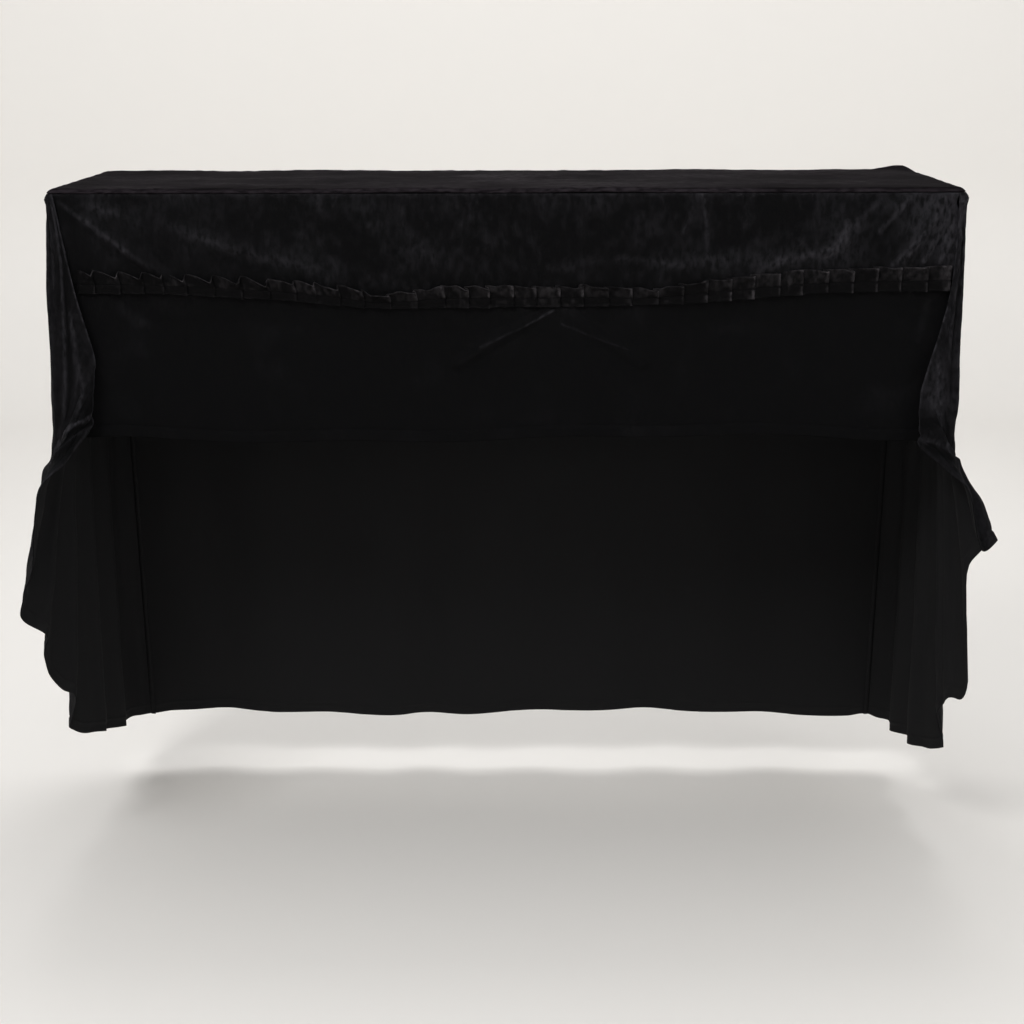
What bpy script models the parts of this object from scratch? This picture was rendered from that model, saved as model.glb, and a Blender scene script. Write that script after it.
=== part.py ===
"""Fitted velvet cover of an upright piano, its front drop turned up for playing.

Metres, +Z up. The origin is the middle of the top panel's underside, where the piano's lid
carries the cover. +X is the player's right hand, +Y points to the wall behind the piano.

Every piece is a sheet of cloth: a grid of points on its middle surface, given its thickness
by a Solidify modifier. Folds are rows of short tables, joined by smooth curves.
"""

from bisect import bisect_right
import math

import bmesh
import bpy
from mathutils import Vector

# Cloth
CLOTH = 0.002                 # velvet with its pile
SEAM = 0.0003                 # space between two pieces that are sewn together
BACK_SEAM = 0.0011            # the same where one of them turns a corner, to its middle surface

# Top of the cover, cut to the piano's lid
WIDTH = 1.507
DEPTH = 0.372
CORNER = 0.012                # radius of the four upright corners
ROLL = 0.012                  # strip of the top that turns down over the lid's edge
ROLL_DROP = 0.005
WALL_TOP = -0.0052            # top edge of every panel that hangs from the top

# Heights of the hanging panels
CHEST_Z = -0.16               # level of the second station of each side fold
BACK_HEM = -1.10
SKIRT_HEM = -0.42

# The front's ends step back and in a little below the top seam, then reach on behind the
# side panels.
END_TUCK = 0.004
END_NARROW = 0.002
END_REACH = 0.003
END_SHARE = 0.11

# Places of a side fold's five stations, as shares of the way down the cloth
STATIONS = (0.0, 0.2, 0.44, 0.56, 1.0)
DROP_SHARE = 0.22             # place of the station between waist and hem

# Pleated band
PLEATS = 36
PLEAT_DEPTH = 0.0055
BAND_OUT = 0.0035             # from the front panel's middle surface to the band's
STITCH_SHARE = 0.42           # height of the stitching above the band's lower edge

BLACK_VELVET = (0.012, 0.012, 0.014)
TOP_VELVET = (0.030, 0.028, 0.028)
TRIM_VELVET = (0.016, 0.016, 0.019)

HALF_WIDTH = WIDTH / 2
HALF_DEPTH = DEPTH / 2
ARC_X = HALF_WIDTH - CORNER   # where the rounded corners begin
ARC_Y = HALF_DEPTH - CORNER
ARC_LENGTH = CORNER * math.pi / 2
SIDE_RUN = 2 * ARC_Y

SIDE_ROWS = (0, 0.05, 0.1, 0.15, 0.2, 0.27, 0.34, 0.4, 0.43, 0.455, 0.48, 0.505, 0.53, 0.56,
             0.60, 0.65, 0.70, 0.75, 0.80, 0.85, 0.90, 0.95, 1)

# Folds of the side panels, from the back seam round the front corner to the slit's free edge.
# top: distance along the top seam from the back seam, as a share of its length.
# chest, waist, hem: outward distance from the middle, y, and z where it isn't CHEST_Z.
# swell: how far the fold bellies out between waist and hem.
SIDE_COLUMNS = ("top", "chest_out", "chest_y", "waist_out", "waist_y", "waist_z",
                "swell", "hem_out", "hem_y", "hem_z")
LEFT_FOLDS = (
    (0.000, 0.7415, 0.186, 0.7415, 0.186, -0.420, 0.000, 0.7415, 0.186, -1.100),  # back seam
    (0.045, 0.7540, 0.174, 0.757, 0.174, -0.420, 0.000, 0.764, 0.172, -1.100),    # back corner
    (0.190, 0.7585, 0.122, 0.766, 0.122, -0.420, 0.004, 0.789, 0.122, -1.092),    # ridge
    (0.320, 0.7545, 0.068, 0.756, 0.068, -0.420, 0.000, 0.764, 0.070, -1.075),
    (0.450, 0.7590, 0.018, 0.768, 0.015, -0.420, 0.004, 0.794, 0.010, -1.055),    # ridge
    (0.560, 0.7545, -0.022, 0.757, -0.030, -0.420, 0.000, 0.768, -0.050, -1.030),
    (0.650, 0.7590, -0.058, 0.769, -0.072, -0.420, 0.006, 0.803, -0.112, -1.005),  # third lobe
    (0.705, 0.7570, -0.077, 0.764, -0.094, -0.420, 0.003, 0.806, -0.155, -0.965),
    (0.750, 0.7545, -0.094, 0.758, -0.112, -0.420, 0.000, 0.776, -0.192, -0.896),
    (0.795, 0.7590, -0.112, 0.769, -0.131, -0.420, 0.004, 0.795, -0.216, -0.868),  # second lobe
    (0.835, 0.7595, -0.128, 0.771, -0.150, -0.420, 0.006, 0.802, -0.264, -0.788),
    (0.875, 0.7555, -0.147, 0.760, -0.168, -0.420, 0.000, 0.784, -0.296, -0.737),
    (0.940, 0.7640, -0.180, 0.774, -0.195, -0.420, 0.007, 0.818, -0.322, -0.690),  # first lobe
    (0.957, 0.7590, -0.194, 0.762, -0.220, -0.416, 0.003, 0.778, -0.362, -0.600),
    (0.970, 0.7480, -0.195, 0.744, -0.228, -0.406, 0.000, 0.750, -0.372, -0.464),
    (0.985, 0.7340, -0.201, 0.716, -0.217, -0.335, 0.000, 0.726, -0.286, -0.429),
    (1.000, 0.7160, -0.196, 0.684, -0.200, -0.272, 0.000, 0.702, -0.205, -0.394),  # free edge
)
RIGHT_FOLDS = (
    (0.000, 0.7415, 0.186, 0.7415, 0.186, -0.420, 0.000, 0.7415, 0.186, -1.100),  # back seam
    (0.045, 0.7535, 0.174, 0.755, 0.174, -0.420, 0.000, 0.762, 0.172, -1.105),    # back corner
    (0.175, 0.7565, 0.128, 0.763, 0.128, -0.420, 0.003, 0.785, 0.128, -1.100),    # ridge
    (0.300, 0.7540, 0.076, 0.755, 0.076, -0.420, 0.000, 0.762, 0.078, -1.088),
    (0.420, 0.7570, 0.030, 0.764, 0.028, -0.420, 0.004, 0.790, 0.022, -1.075),    # ridge
    (0.540, 0.7540, -0.014, 0.755, -0.020, -0.420, 0.000, 0.768, -0.036, -1.062),
    (0.640, 0.7570, -0.054, 0.765, -0.066, -0.420, 0.004, 0.797, -0.095, -1.045),  # third lobe
    (0.700, 0.7560, -0.077, 0.762, -0.092, -0.420, 0.002, 0.800, -0.150, -1.006),
    (0.750, 0.7540, -0.094, 0.756, -0.112, -0.420, 0.000, 0.784, -0.176, -0.935),
    (0.790, 0.7560, -0.110, 0.761, -0.130, -0.420, 0.004, 0.788, -0.205, -0.898),
    (0.830, 0.7570, -0.126, 0.765, -0.148, -0.420, 0.012, 0.807, -0.246, -0.860),  # second lobe
    (0.880, 0.7540, -0.149, 0.757, -0.168, -0.420, 0.000, 0.780, -0.276, -0.606),
    (0.945, 0.7580, -0.182, 0.760, -0.196, -0.420, 0.008, 0.813, -0.316, -0.560),  # first lobe
    (0.960, 0.7560, -0.194, 0.755, -0.218, -0.416, 0.003, 0.778, -0.346, -0.556),
    (0.972, 0.7495, -0.196, 0.742, -0.228, -0.406, 0.000, 0.746, -0.362, -0.464),
    (0.987, 0.7435, -0.200, 0.724, -0.216, -0.360, 0.000, 0.725, -0.275, -0.445),
    (1.000, 0.7380, -0.195, 0.703, -0.200, -0.315, -0.004, 0.702, -0.205, -0.430),  # free edge
)

# Puffs of the side panels near the front corner: how far each stands out, where, how wide.
# They die away at the free edge.
PUFF_START = 0.010
PUFF_COLUMNS = ("out", "z", "spread_z", "y", "spread_y")
LEFT_PUFFS = (
    (0.0030, -0.012, 0.012, -0.180, 0.030),
    (0.0020, -0.360, 0.050, -0.190, 0.060),
)
RIGHT_PUFFS = (
    (0.0055, -0.014, 0.010, -0.180, 0.030),
    (0.0060, -0.340, 0.055, -0.190, 0.060),
)

# Rolls of cloth where the side panels break over the arms: place down the cloth, how far it
# drifts towards the hem with each fold that follows, half width, all as shares of the length,
# and height. They start at one fold and are full at the next named, where they start to drift.
ARM_ROLL_COLUMNS = ("place", "drift", "half_width", "height")
ARM_ROLLS = (
    (0.450, 0.150, 0.024, 0.005),
    (0.492, 0.155, 0.020, -0.003),
    (0.532, 0.155, 0.026, 0.004),
)
ARM_ROLL_START, ARM_ROLL_FULL = 10, 13
ARM_ROLL_OUT, ARM_ROLL_FORWARD, ARM_ROLL_UP = 0.4, 0.6, 0.6

# Creases that run down and across the front panel: from, to, half width and height.
CREASE_COLUMNS = ("x0", "z0", "x1", "z1", "half_width", "height")
FRONT_CREASES = (
    (-0.735, -0.020, -0.560, -0.140, 0.012, 0.0045),
    (-0.700, -0.016, -0.600, -0.056, 0.015, 0.0035),
    (-0.560, -0.050, -0.470, -0.098, 0.018, 0.0040),
    (-0.460, -0.085, -0.280, -0.140, 0.020, 0.0045),
    (-0.300, -0.025, -0.090, -0.130, 0.030, 0.0030),
    (0.330, -0.012, 0.345, -0.125, 0.012, 0.0035),
    (0.590, -0.012, 0.450, -0.125, 0.020, 0.0030),
    (0.665, -0.006, 0.540, -0.100, 0.016, 0.0045),
    (0.722, -0.008, 0.650, -0.130, 0.016, 0.0045),
)
SKIRT_CREASES = (
    (0.083, -0.185, -0.080, -0.290, 0.010, 0.0060),
    (0.083, -0.185, 0.230, -0.290, 0.010, 0.0050),
    (-0.108, -0.200, -0.010, -0.270, 0.020, 0.0035),
    (-0.660, -0.190, -0.570, -0.420, 0.030, 0.0040),
    (0.440, -0.190, 0.470, -0.420, 0.035, 0.0040),
)

# Upper and lower edge of the pleated band along the front.
BAND_COLUMNS = ("x", "top", "bottom")
BAND_LINE = (
    (-0.712, -0.132, -0.168),
    (-0.590, -0.137, -0.167),
    (-0.440, -0.143, -0.175),
    (-0.350, -0.149, -0.181),
    (-0.275, -0.159, -0.188),
    (-0.210, -0.170, -0.193),
    (-0.145, -0.163, -0.193),
    (-0.095, -0.156, -0.192),
    (0.170, -0.156, -0.190),
    (0.255, -0.160, -0.187),
    (0.335, -0.147, -0.183),
    (0.415, -0.138, -0.177),
    (0.535, -0.130, -0.168),
    (0.732, -0.124, -0.165),
)

# Soft upright folds of the back panel: place, half width, depth at the hem.
BACK_FOLD_COLUMNS = ("x", "half_width", "depth")
BACK_FOLDS = (
    (-0.585, 0.060, 0.016),
    (-0.375, 0.075, 0.012),
    (-0.170, 0.050, 0.018),
    (0.040, 0.080, 0.013),
    (0.285, 0.060, 0.017),
    (0.520, 0.070, 0.014),
)

# The cloth stands up a little at the right back corner of the lid.
EAR_X = 0.728
EAR_SPREAD = 0.036
EAR_HEIGHT = 0.009
EAR_END = 0.022               # it falls away over this width at the corner itself
CORNER_FOLLOW = 0.60          # how far a side panel's top edge rises with it there

# Places across the lid where the top and the back panel are both modelled.
LID_COLUMNS_LEFT, LID_COLUMNS_RIGHT, LID_COLUMNS_EAR = -0.70, 0.60, 0.735


def clear_scene():
    for old in list(bpy.data.objects):
        bpy.data.objects.remove(old, do_unlink=True)


def velvet(name, colour, roughness):
    """Cloth finish: a plain dark pile, neither metal nor gloss."""
    material = bpy.data.materials.new(name)
    material.use_nodes = True
    shader = material.node_tree.nodes["Principled BSDF"]
    shader.inputs["Base Color"].default_value = (*colour, 1.0)
    shader.inputs["Roughness"].default_value = roughness
    shader.inputs["Metallic"].default_value = 0.0
    return material


def rows_of(columns, table):
    """Each row of a table as a dictionary by column name."""
    return [dict(zip(columns, row)) for row in table]


def curve_through(stops, values, place):
    """Smooth curve through the values at the stops, read at one place."""
    last = len(stops) - 1
    i = min(max(bisect_right(stops, place) - 1, 0), last - 1)
    span = stops[i + 1] - stops[i]
    t = (place - stops[i]) / span

    def slope(k):
        low, high = max(k - 1, 0), min(k + 1, last)
        return (values[high] - values[low]) * (span / (stops[high] - stops[low]))

    start, end = values[i], values[i + 1]
    keep, reach = 2 * t ** 3 - 3 * t ** 2 + 1, 3 * t ** 2 - 2 * t ** 3
    return (start * keep + end * reach
            + slope(i) * (t ** 3 - 2 * t ** 2 + t) + slope(i + 1) * (t ** 3 - t ** 2))


def ease(share):
    """0 to 1 with a soft start and end."""
    share = min(max(share, 0.0), 1.0)
    return share * share * (3 - 2 * share)


def bump(distance, half_width):
    """Rounded ridge: 1 at its middle, fading out past its half width."""
    return math.exp(-(distance / half_width) ** 2)


def spread(low, high, count):
    """Evenly spaced numbers from low to high, both included."""
    return [low + (high - low) * i / (count - 1) for i in range(count)]


def sheet(name, columns, rows, point, material):
    """A sheet of cloth on the middle surface point(column, row), as one closed body.

    Columns run to the right and rows run down when the piece is seen from outside.
    """
    mesh = bmesh.new()
    grid = [[mesh.verts.new(point(c, r)) for c in columns] for r in rows]
    for upper, lower in zip(grid, grid[1:]):
        for i in range(len(columns) - 1):
            mesh.faces.new((upper[i], lower[i], lower[i + 1], upper[i + 1]))
    data = bpy.data.meshes.new(name)
    mesh.to_mesh(data)
    mesh.free()
    data.shade_smooth()
    piece = bpy.data.objects.new(name, data)
    piece.data.materials.append(material)
    bpy.context.collection.objects.link(piece)
    solid = piece.modifiers.new("Cloth", "SOLIDIFY")
    solid.thickness = CLOTH
    solid.offset = 0.0
    return piece


def lid_rise(x, y):
    """How far the cloth stands off the lid: the ear at the right back corner, faint ripples."""
    ear = EAR_HEIGHT * bump(x - EAR_X, EAR_SPREAD) * bump(y - HALF_DEPTH, EAR_SPREAD)
    ripple = 0.0005 * (1 + math.sin(19 * x + 9 * y)) * (1 + math.sin(25 * y - 7 * x))
    inside = ease((HALF_WIDTH - abs(x)) / EAR_END)
    return (ear + ripple) * inside


def lid_columns():
    """Places across the lid, close together where the ear stands up."""
    return (spread(LID_COLUMNS_LEFT, LID_COLUMNS_RIGHT, 24)
            + spread(LID_COLUMNS_RIGHT, LID_COLUMNS_EAR, 12)[1:])


def round_corner(x, y):
    """Moves a point of a square-cornered rectangle onto one with rounded corners."""
    across, along = (abs(x) - ARC_X) / CORNER, (abs(y) - ARC_Y) / CORNER
    if across <= 0 or along <= 0:
        return x, y
    disc_x = across * math.sqrt(1 - along ** 2 / 2)
    disc_y = along * math.sqrt(1 - across ** 2 / 2)
    return math.copysign(ARC_X + CORNER * disc_x, x), math.copysign(ARC_Y + CORNER * disc_y, y)


def top_point(x, y):
    """Top panel: flat on the lid, its rim turned down over the lid's edge."""
    to_rim = min(HALF_WIDTH - abs(x), HALF_DEPTH - abs(y))
    drop = ROLL_DROP * max(1 - to_rim / ROLL, 0.0) ** 2
    px, py = round_corner(x, y)
    return Vector((px, py, CLOTH / 2 + lid_rise(px, py) - drop))


def build_top_panel(material):
    ends = (HALF_WIDTH, HALF_WIDTH - ROLL / 3, HALF_WIDTH - ROLL, ARC_X - ROLL / 4)
    columns = [-x for x in ends] + lid_columns() + list(reversed(ends))
    sides = (HALF_DEPTH, HALF_DEPTH - ROLL / 3, HALF_DEPTH - ROLL, ARC_Y - ROLL / 3)
    rows = list(sides) + spread(0.125, -0.125, 6) + [-y for y in reversed(sides)]
    return sheet("top_panel", columns, rows, top_point, material)


def crease_height(creases, x, z):
    """Height of all creases at one place: each a ridge along its line, fading at its ends."""
    total = 0.0
    for crease in creases:
        start = Vector((crease["x0"], crease["z0"]))
        run = Vector((crease["x1"], crease["z1"])) - start
        along = (Vector((x, z)) - start).dot(run) / run.length_squared
        nearest = start + run * min(max(along, 0.0), 1.0)
        distance = (Vector((x, z)) - nearest).length
        total += crease["height"] * bump(distance, crease["half_width"])
    return total


def band_edges(x):
    """Upper and lower edge of the pleated band at one place along the front."""
    band = rows_of(BAND_COLUMNS, BAND_LINE)
    stops = [row["x"] for row in band]
    place = min(max(x, stops[0]), stops[-1])
    top = curve_through(stops, [row["top"] for row in band], place)
    return top, curve_through(stops, [row["bottom"] for row in band], place)


def stitch_z(x):
    """Line where the band, the front panel and the skirt are sewn together."""
    top, bottom = band_edges(x)
    return bottom + (top - bottom) * STITCH_SHARE


def end_fade(x, margin=0.045):
    """0 at the front's two ends, where the cloth is held flat, 1 away from them."""
    return ease((ARC_X - abs(x)) / margin)


def front_out(x, z):
    """How far the front panel stands out from the lid's front face."""
    share = min(z / stitch_z(x), 1.0)
    belly = 0.003 * math.sin(math.pi * share)
    creases = rows_of(CREASE_COLUMNS, FRONT_CREASES)
    return (belly + crease_height(creases, x, z)) * end_fade(x) * ease(share / 0.12)


def front_end(x, share, half):
    """Tucks the front's two ends under the side panels: place across, and how far back."""
    below_seam, further = ease(share / END_SHARE), ease(share / END_SHARE - 1)
    reach = (END_REACH + END_NARROW) * further - END_NARROW * below_seam
    return x * (1 + reach / half), END_TUCK * below_seam * (1 - end_fade(x))


def build_front_panel(material):
    half = ARC_X - SEAM

    def point(place, share):
        x, back = front_end(place, share, half)
        z = WALL_TOP + (stitch_z(x) + SEAM - WALL_TOP) * share
        return Vector((x, back - HALF_DEPTH - front_out(x, z), z))

    columns = spread(-half, -0.45, 24) + spread(-0.42, 0.42, 27) + spread(0.45, half, 24)
    return sheet("front_panel", columns, spread(0, 1, 10), point, material)


def skirt_out(x, z):
    """How far the skirt stands out: it starts at the stitching and falls back a little."""
    down = (stitch_z(x) - z) / (stitch_z(x) - SKIRT_HEM)
    start = front_out(x, stitch_z(x))
    sway = 0.004 * math.sin(6.3 * x + 1.1) + 0.003 * math.sin(13.7 * x)
    creases = rows_of(CREASE_COLUMNS, SKIRT_CREASES)
    folds = (sway + crease_height(creases, x, z) - 0.006) * end_fade(x) * ease(down / 0.25)
    return start * (1 - ease(down / 0.3)) + folds


def build_front_skirt(material):
    half = ARC_X - SEAM + END_REACH

    def point(x, share):
        back = END_TUCK * (1 - end_fade(x))
        hem = SKIRT_HEM + 0.006 * math.sin(5.1 * x) + 0.003 * math.sin(17.0 * x)
        top = stitch_z(x) - SEAM
        z = top + (hem - top) * share
        return Vector((x, back - HALF_DEPTH - skirt_out(x, z), z))

    columns = spread(-half, -0.17, 16) + spread(-0.15, 0.28, 32) + spread(0.30, half, 14)
    return sheet("front_skirt", columns, spread(0, 1, 10), point, material)


def build_pleated_band(material):
    """Knife pleats stitched down along one line: a frill above it and one below."""
    first, last = BAND_LINE[0][0], BAND_LINE[-1][0]
    pitch = (last - first) / PLEATS
    rise, fold = 0.45, 0.86           # places in a pleat: half way up its face, and its edge
    columns = [first + pitch * (i + part) for i in range(PLEATS) for part in (0, rise, fold)]
    columns.append(last)
    rows = (1.0, 0.72, STITCH_SHARE, 0.2, 0.0)

    def point(x, share):
        top, bottom = band_edges(x)
        z = bottom + (top - bottom) * share
        phase = ((x - first) / pitch) % 1.0
        crown = phase / fold if phase < fold + 1e-6 else (1 - phase) / (1 - fold)
        number = (x - first) / pitch
        uneven = 1 + 0.25 * math.sin(2.3 * number) * math.cos(0.7 * number)
        free = abs(share - STITCH_SHARE) / (1 - STITCH_SHARE)
        relief = PLEAT_DEPTH * uneven * crown * (0.25 + 0.75 * free)
        lean = 0.004 * free
        slip = 0.10 * pitch * math.sin(1.7 * number) * free
        out = front_out(x, stitch_z(x)) + BAND_OUT + relief + lean
        return Vector((x + slip * end_fade(x, 0.03), -HALF_DEPTH - out, z))

    return sheet("pleated_band", columns, rows, point, material)


def seam_place(distance):
    """Outward distance and y on the top seam, from the back seam round both corners."""
    if distance < ARC_LENGTH:
        angle = distance / CORNER
        return ARC_X + CORNER * math.sin(angle), ARC_Y + CORNER * math.cos(angle)
    if distance < ARC_LENGTH + SIDE_RUN:
        return HALF_WIDTH, ARC_Y - (distance - ARC_LENGTH)
    angle = (distance - ARC_LENGTH - SIDE_RUN) / CORNER
    return ARC_X + CORNER * math.cos(angle), -ARC_Y - CORNER * math.sin(angle)


def side_stations(fold, side):
    """The five points that one fold of a side panel runs through, seam to hem."""
    out, y = seam_place(fold["top"] * (SIDE_RUN + 2 * ARC_LENGTH))
    out += SEAM if fold["top"] in (0.0, 1.0) else 0.0
    top_z = WALL_TOP + lid_rise(side * out, y) * CORNER_FOLLOW
    waist = Vector((side * fold["waist_out"], fold["waist_y"], fold["waist_z"]))
    hem = Vector((side * fold["hem_out"], fold["hem_y"], fold["hem_z"]))
    return (
        Vector((side * out, y, top_z)),
        Vector((side * fold["chest_out"], fold["chest_y"], CHEST_Z)),
        waist,
        waist.lerp(hem, DROP_SHARE) + Vector((side * fold["swell"], 0, 0)),
        hem,
    )


def puff_out(puffs, y, z):
    """How far the puffs push a side panel out at one place, nothing at its top seam."""
    total = sum(puff["out"] * bump(z - puff["z"], puff["spread_z"])
                * bump(y - puff["y"], puff["spread_y"]) for puff in puffs)
    return total * ease((WALL_TOP - z) / PUFF_START)


def arm_roll(side, column, row):
    """Shift of one point of a side panel by the rolls over the arm."""
    further = max(column - ARM_ROLL_FULL, 0)
    height = sum(roll["height"] * bump(row - roll["place"] - roll["drift"] * further,
                                       roll["half_width"])
                 for roll in rows_of(ARM_ROLL_COLUMNS, ARM_ROLLS))
    height *= ease((column - ARM_ROLL_START) / (ARM_ROLL_FULL - ARM_ROLL_START))
    return height * Vector((side * ARM_ROLL_OUT, -ARM_ROLL_FORWARD, ARM_ROLL_UP))


def build_side_panel(name, side, table, puff_table, material):
    """A side panel: hangs down the side, turns the front corner and falls over the arm."""
    lines = [side_stations(fold, side) for fold in rows_of(SIDE_COLUMNS, table)]
    puffs = rows_of(PUFF_COLUMNS, puff_table)
    places = list(range(len(lines)))
    columns = spread(0, places[-1], 2 * len(lines) - 1)
    if side > 0:
        columns.reverse()

    def point(column, row):
        across = [curve_through(STATIONS, line, row) for line in lines]
        place = curve_through(places, across, column)
        place.x += side * puff_out(puffs, place.y, place.z) * ease(places[-1] - column)
        return place + arm_roll(side, column, row)

    return sheet(name, columns, SIDE_ROWS, point, material)


def back_out(x, share):
    """How far the back panel swings out in its soft folds, most at the hem."""
    folds = rows_of(BACK_FOLD_COLUMNS, BACK_FOLDS)
    total = sum(fold["depth"] * bump(x - fold["x"], fold["half_width"]) for fold in folds)
    return total * share * end_fade(x)


def build_back_panel(material):
    half = ARC_X - BACK_SEAM

    def point(x, share):
        top = WALL_TOP + lid_rise(x, HALF_DEPTH)
        hem = BACK_HEM + 0.006 * math.sin(7.0 * x) * end_fade(x)
        z = top + (hem - top) * share
        return Vector((x, HALF_DEPTH + back_out(x, share), z))

    columns = [half] + lid_columns()[::-1] + spread(-0.72, -half, 2)
    return sheet("back_panel", columns, spread(0, 1, 8), point, material)


def main():
    clear_scene()
    black = velvet("black_velvet", BLACK_VELVET, 0.9)
    top = velvet("top_velvet", TOP_VELVET, 0.92)
    trim = velvet("trim_velvet", TRIM_VELVET, 0.85)
    build_top_panel(top)
    build_front_panel(black)
    build_front_skirt(black)
    build_pleated_band(trim)
    build_side_panel("side_panel_left", -1, LEFT_FOLDS, LEFT_PUFFS, black)
    build_side_panel("side_panel_right", 1, RIGHT_FOLDS, RIGHT_PUFFS, black)
    build_back_panel(black)


main()
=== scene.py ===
import math

import bpy
import numpy as np
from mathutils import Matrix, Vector


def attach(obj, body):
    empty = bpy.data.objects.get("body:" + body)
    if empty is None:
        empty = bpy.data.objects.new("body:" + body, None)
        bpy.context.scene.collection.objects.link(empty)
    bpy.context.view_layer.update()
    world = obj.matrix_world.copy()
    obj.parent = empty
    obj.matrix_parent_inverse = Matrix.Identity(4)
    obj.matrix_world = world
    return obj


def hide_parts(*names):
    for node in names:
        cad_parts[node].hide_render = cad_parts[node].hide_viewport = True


# A fitted black velvet cover of an upright piano, its front drop turned up for playing.
# Metres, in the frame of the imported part: origin under the middle of the top panel, +X to the
# player's right, +Y to the wall, +Z up. Each panel is a grid of points on the cloth's middle
# surface, run through tables of folds, then pushed in and out by creases, puckers and crush
# marks. Rows of a grid run down the cloth and its columns run to the right, seen from outside.

# Cloth
CLOTH = 0.0018
TRIM_CLOTH = 0.0012           # the pleated band is cut from a lighter velvet
SEAM = 0.0003
BACK_SEAM = 0.0011
HEM = 0.020                   # depth of the turned hems
HEM_RISE = 0.0007             # how far their doubled cloth stands up, and the top's allowance
HEM_DRAWN = -0.0010           # how far their stitches draw the cloth in
SEAM_DRAWN = -0.0008
HEM_PUCKER, SEAM_PUCKER = 0.0007, 0.0009
# Dents of velvet that has lain folded: how far apart across and down the cloth, and how deep.
DENTS = (((0.060, 0.090), 0.0010), ((0.022, 0.034), 0.0005), ((0.009, 0.014), 0.0002))
# How light the pile lies and where light and shade are painted on it, from about 0 to 1: each sheet's
# own tone, and its mottling, in layers of strength, size of the patches across and down, and seed. A
# side panel adds its own seed.
# The top's tone is painted sheen, lighter as its pile is seen at a glance under the top light; the
# skirt's is painted shade, darker as it hangs in shade under the band.
TOP_SHEEN_TONE, SKIRT_SHADE_TONE, SIDE_TONE, BACK_TONE = 0.16, -0.08, 0.12, 0.18
TOP_MOTTLE = ((0.4, (0.16, 0.05), 15), (0.2, (0.05, 0.02), 16))
FRONT_MOTTLE = ((0.04, (0.09, 0.05), 25), (0.06, (0.032, 0.028), 26))
FRONT_SPECKS = ((0.16, (0.008, 0.014), 27),)
SKIRT_MOTTLE = ((0.05, (0.12, 0.1), 35),)
BAND_MOTTLE = ((0.08, (0.018, 0.018), 45), (0.24, (0.005, 0.007), 46))
SIDE_MOTTLE = ((0.1, (0.05, 0.12), 6),)
BACK_MOTTLE = ((0.15, (0.1, 0.16), 77),)
# Painted highlights on the crests of folds and creases, where they catch the light:
CREST_HIGHLIGHT = 40.0            # lighter on a side fold by this, for each metre of its height
BROAD_CREST_HIGHLIGHT = 20.0      # the same for the broad folds of the front
SHARP_CREST_HIGHLIGHT = 380.0     # and for its sharp creases
# Painted highlights along the top's rolled rim, along the front's top seam and along the slit's free
# edge of a side panel.
TOP_RIM_HIGHLIGHT, FRONT_SEAM_HIGHLIGHT, SLIT_HIGHLIGHT = 1.0, 0.3, 1.5
# Seam allowance of a side panel behind the back panel: inward from the seam, and forward.
ALLOWANCE = ((0.0090, 0.0034), (0.0030, 0.0031), (0.0003, 0.0022))

# Top panel
WIDTH = 1.507
DEPTH = 0.372
CORNER = 0.012
ROLL = 0.012                  # width of the rim that rolls down over the lid's edge
ROLL_DROP = 0.005
EAR_X = 0.728                 # the raised ear at the right back corner
EAR_SPREAD = 0.036
EAR_HEIGHT = 0.009
EAR_END = 0.022
CORNER_FOLLOW = 0.60          # share of the ear that the side panel's top edge follows
RIPPLE = 0.0005
TOP_PUCKER = 0.0005
TOP_FULLNESS = 0.0008

# Hanging panels
WALL_TOP = -0.0052            # where the hanging panels start, under the rim
CHEST_Z = -0.16
BACK_HEM = -1.10
SKIRT_HEM = -0.42
# The front's ends step back and in a little below the top seam, then reach on behind the side
# panels, and fill out towards them lower down.
END_TUCK = 0.004
END_NARROW = 0.002
END_REACH = 0.003
END_SHARE = 0.11
END_FORWARD = 0.006
FRONT_BELLY = 0.003
# Shares of a side panel's height at its seam, chest, waist, drop and hem, and where the drop
# lies between the waist and the hem.
STATIONS = (0.0, 0.2, 0.44, 0.56, 1.0)
DROP_SHARE = 0.22

# Room
FLOOR_Z = -1.224
CAMERA_PLACE = (0.0282, -2.7499, 0.2386)
CAMERA_ANGLES = (72.911, 0.141, 0.365)        # degrees
CAMERA_LENS = 54.27

HALF_WIDTH = WIDTH / 2
HALF_DEPTH = DEPTH / 2
ARC_X = HALF_WIDTH - CORNER
ARC_Y = HALF_DEPTH - CORNER
ARC_LENGTH = CORNER * math.pi / 2
SIDE_RUN = 2 * ARC_Y

SIDE_ROWS = (0, 0.05, 0.1, 0.15, 0.2, 0.27, 0.34, 0.4, 0.43, 0.455, 0.48, 0.505, 0.53, 0.56,
             0.6, 0.65, 0.7, 0.75, 0.8, 0.85, 0.9, 0.95, 1)

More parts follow.
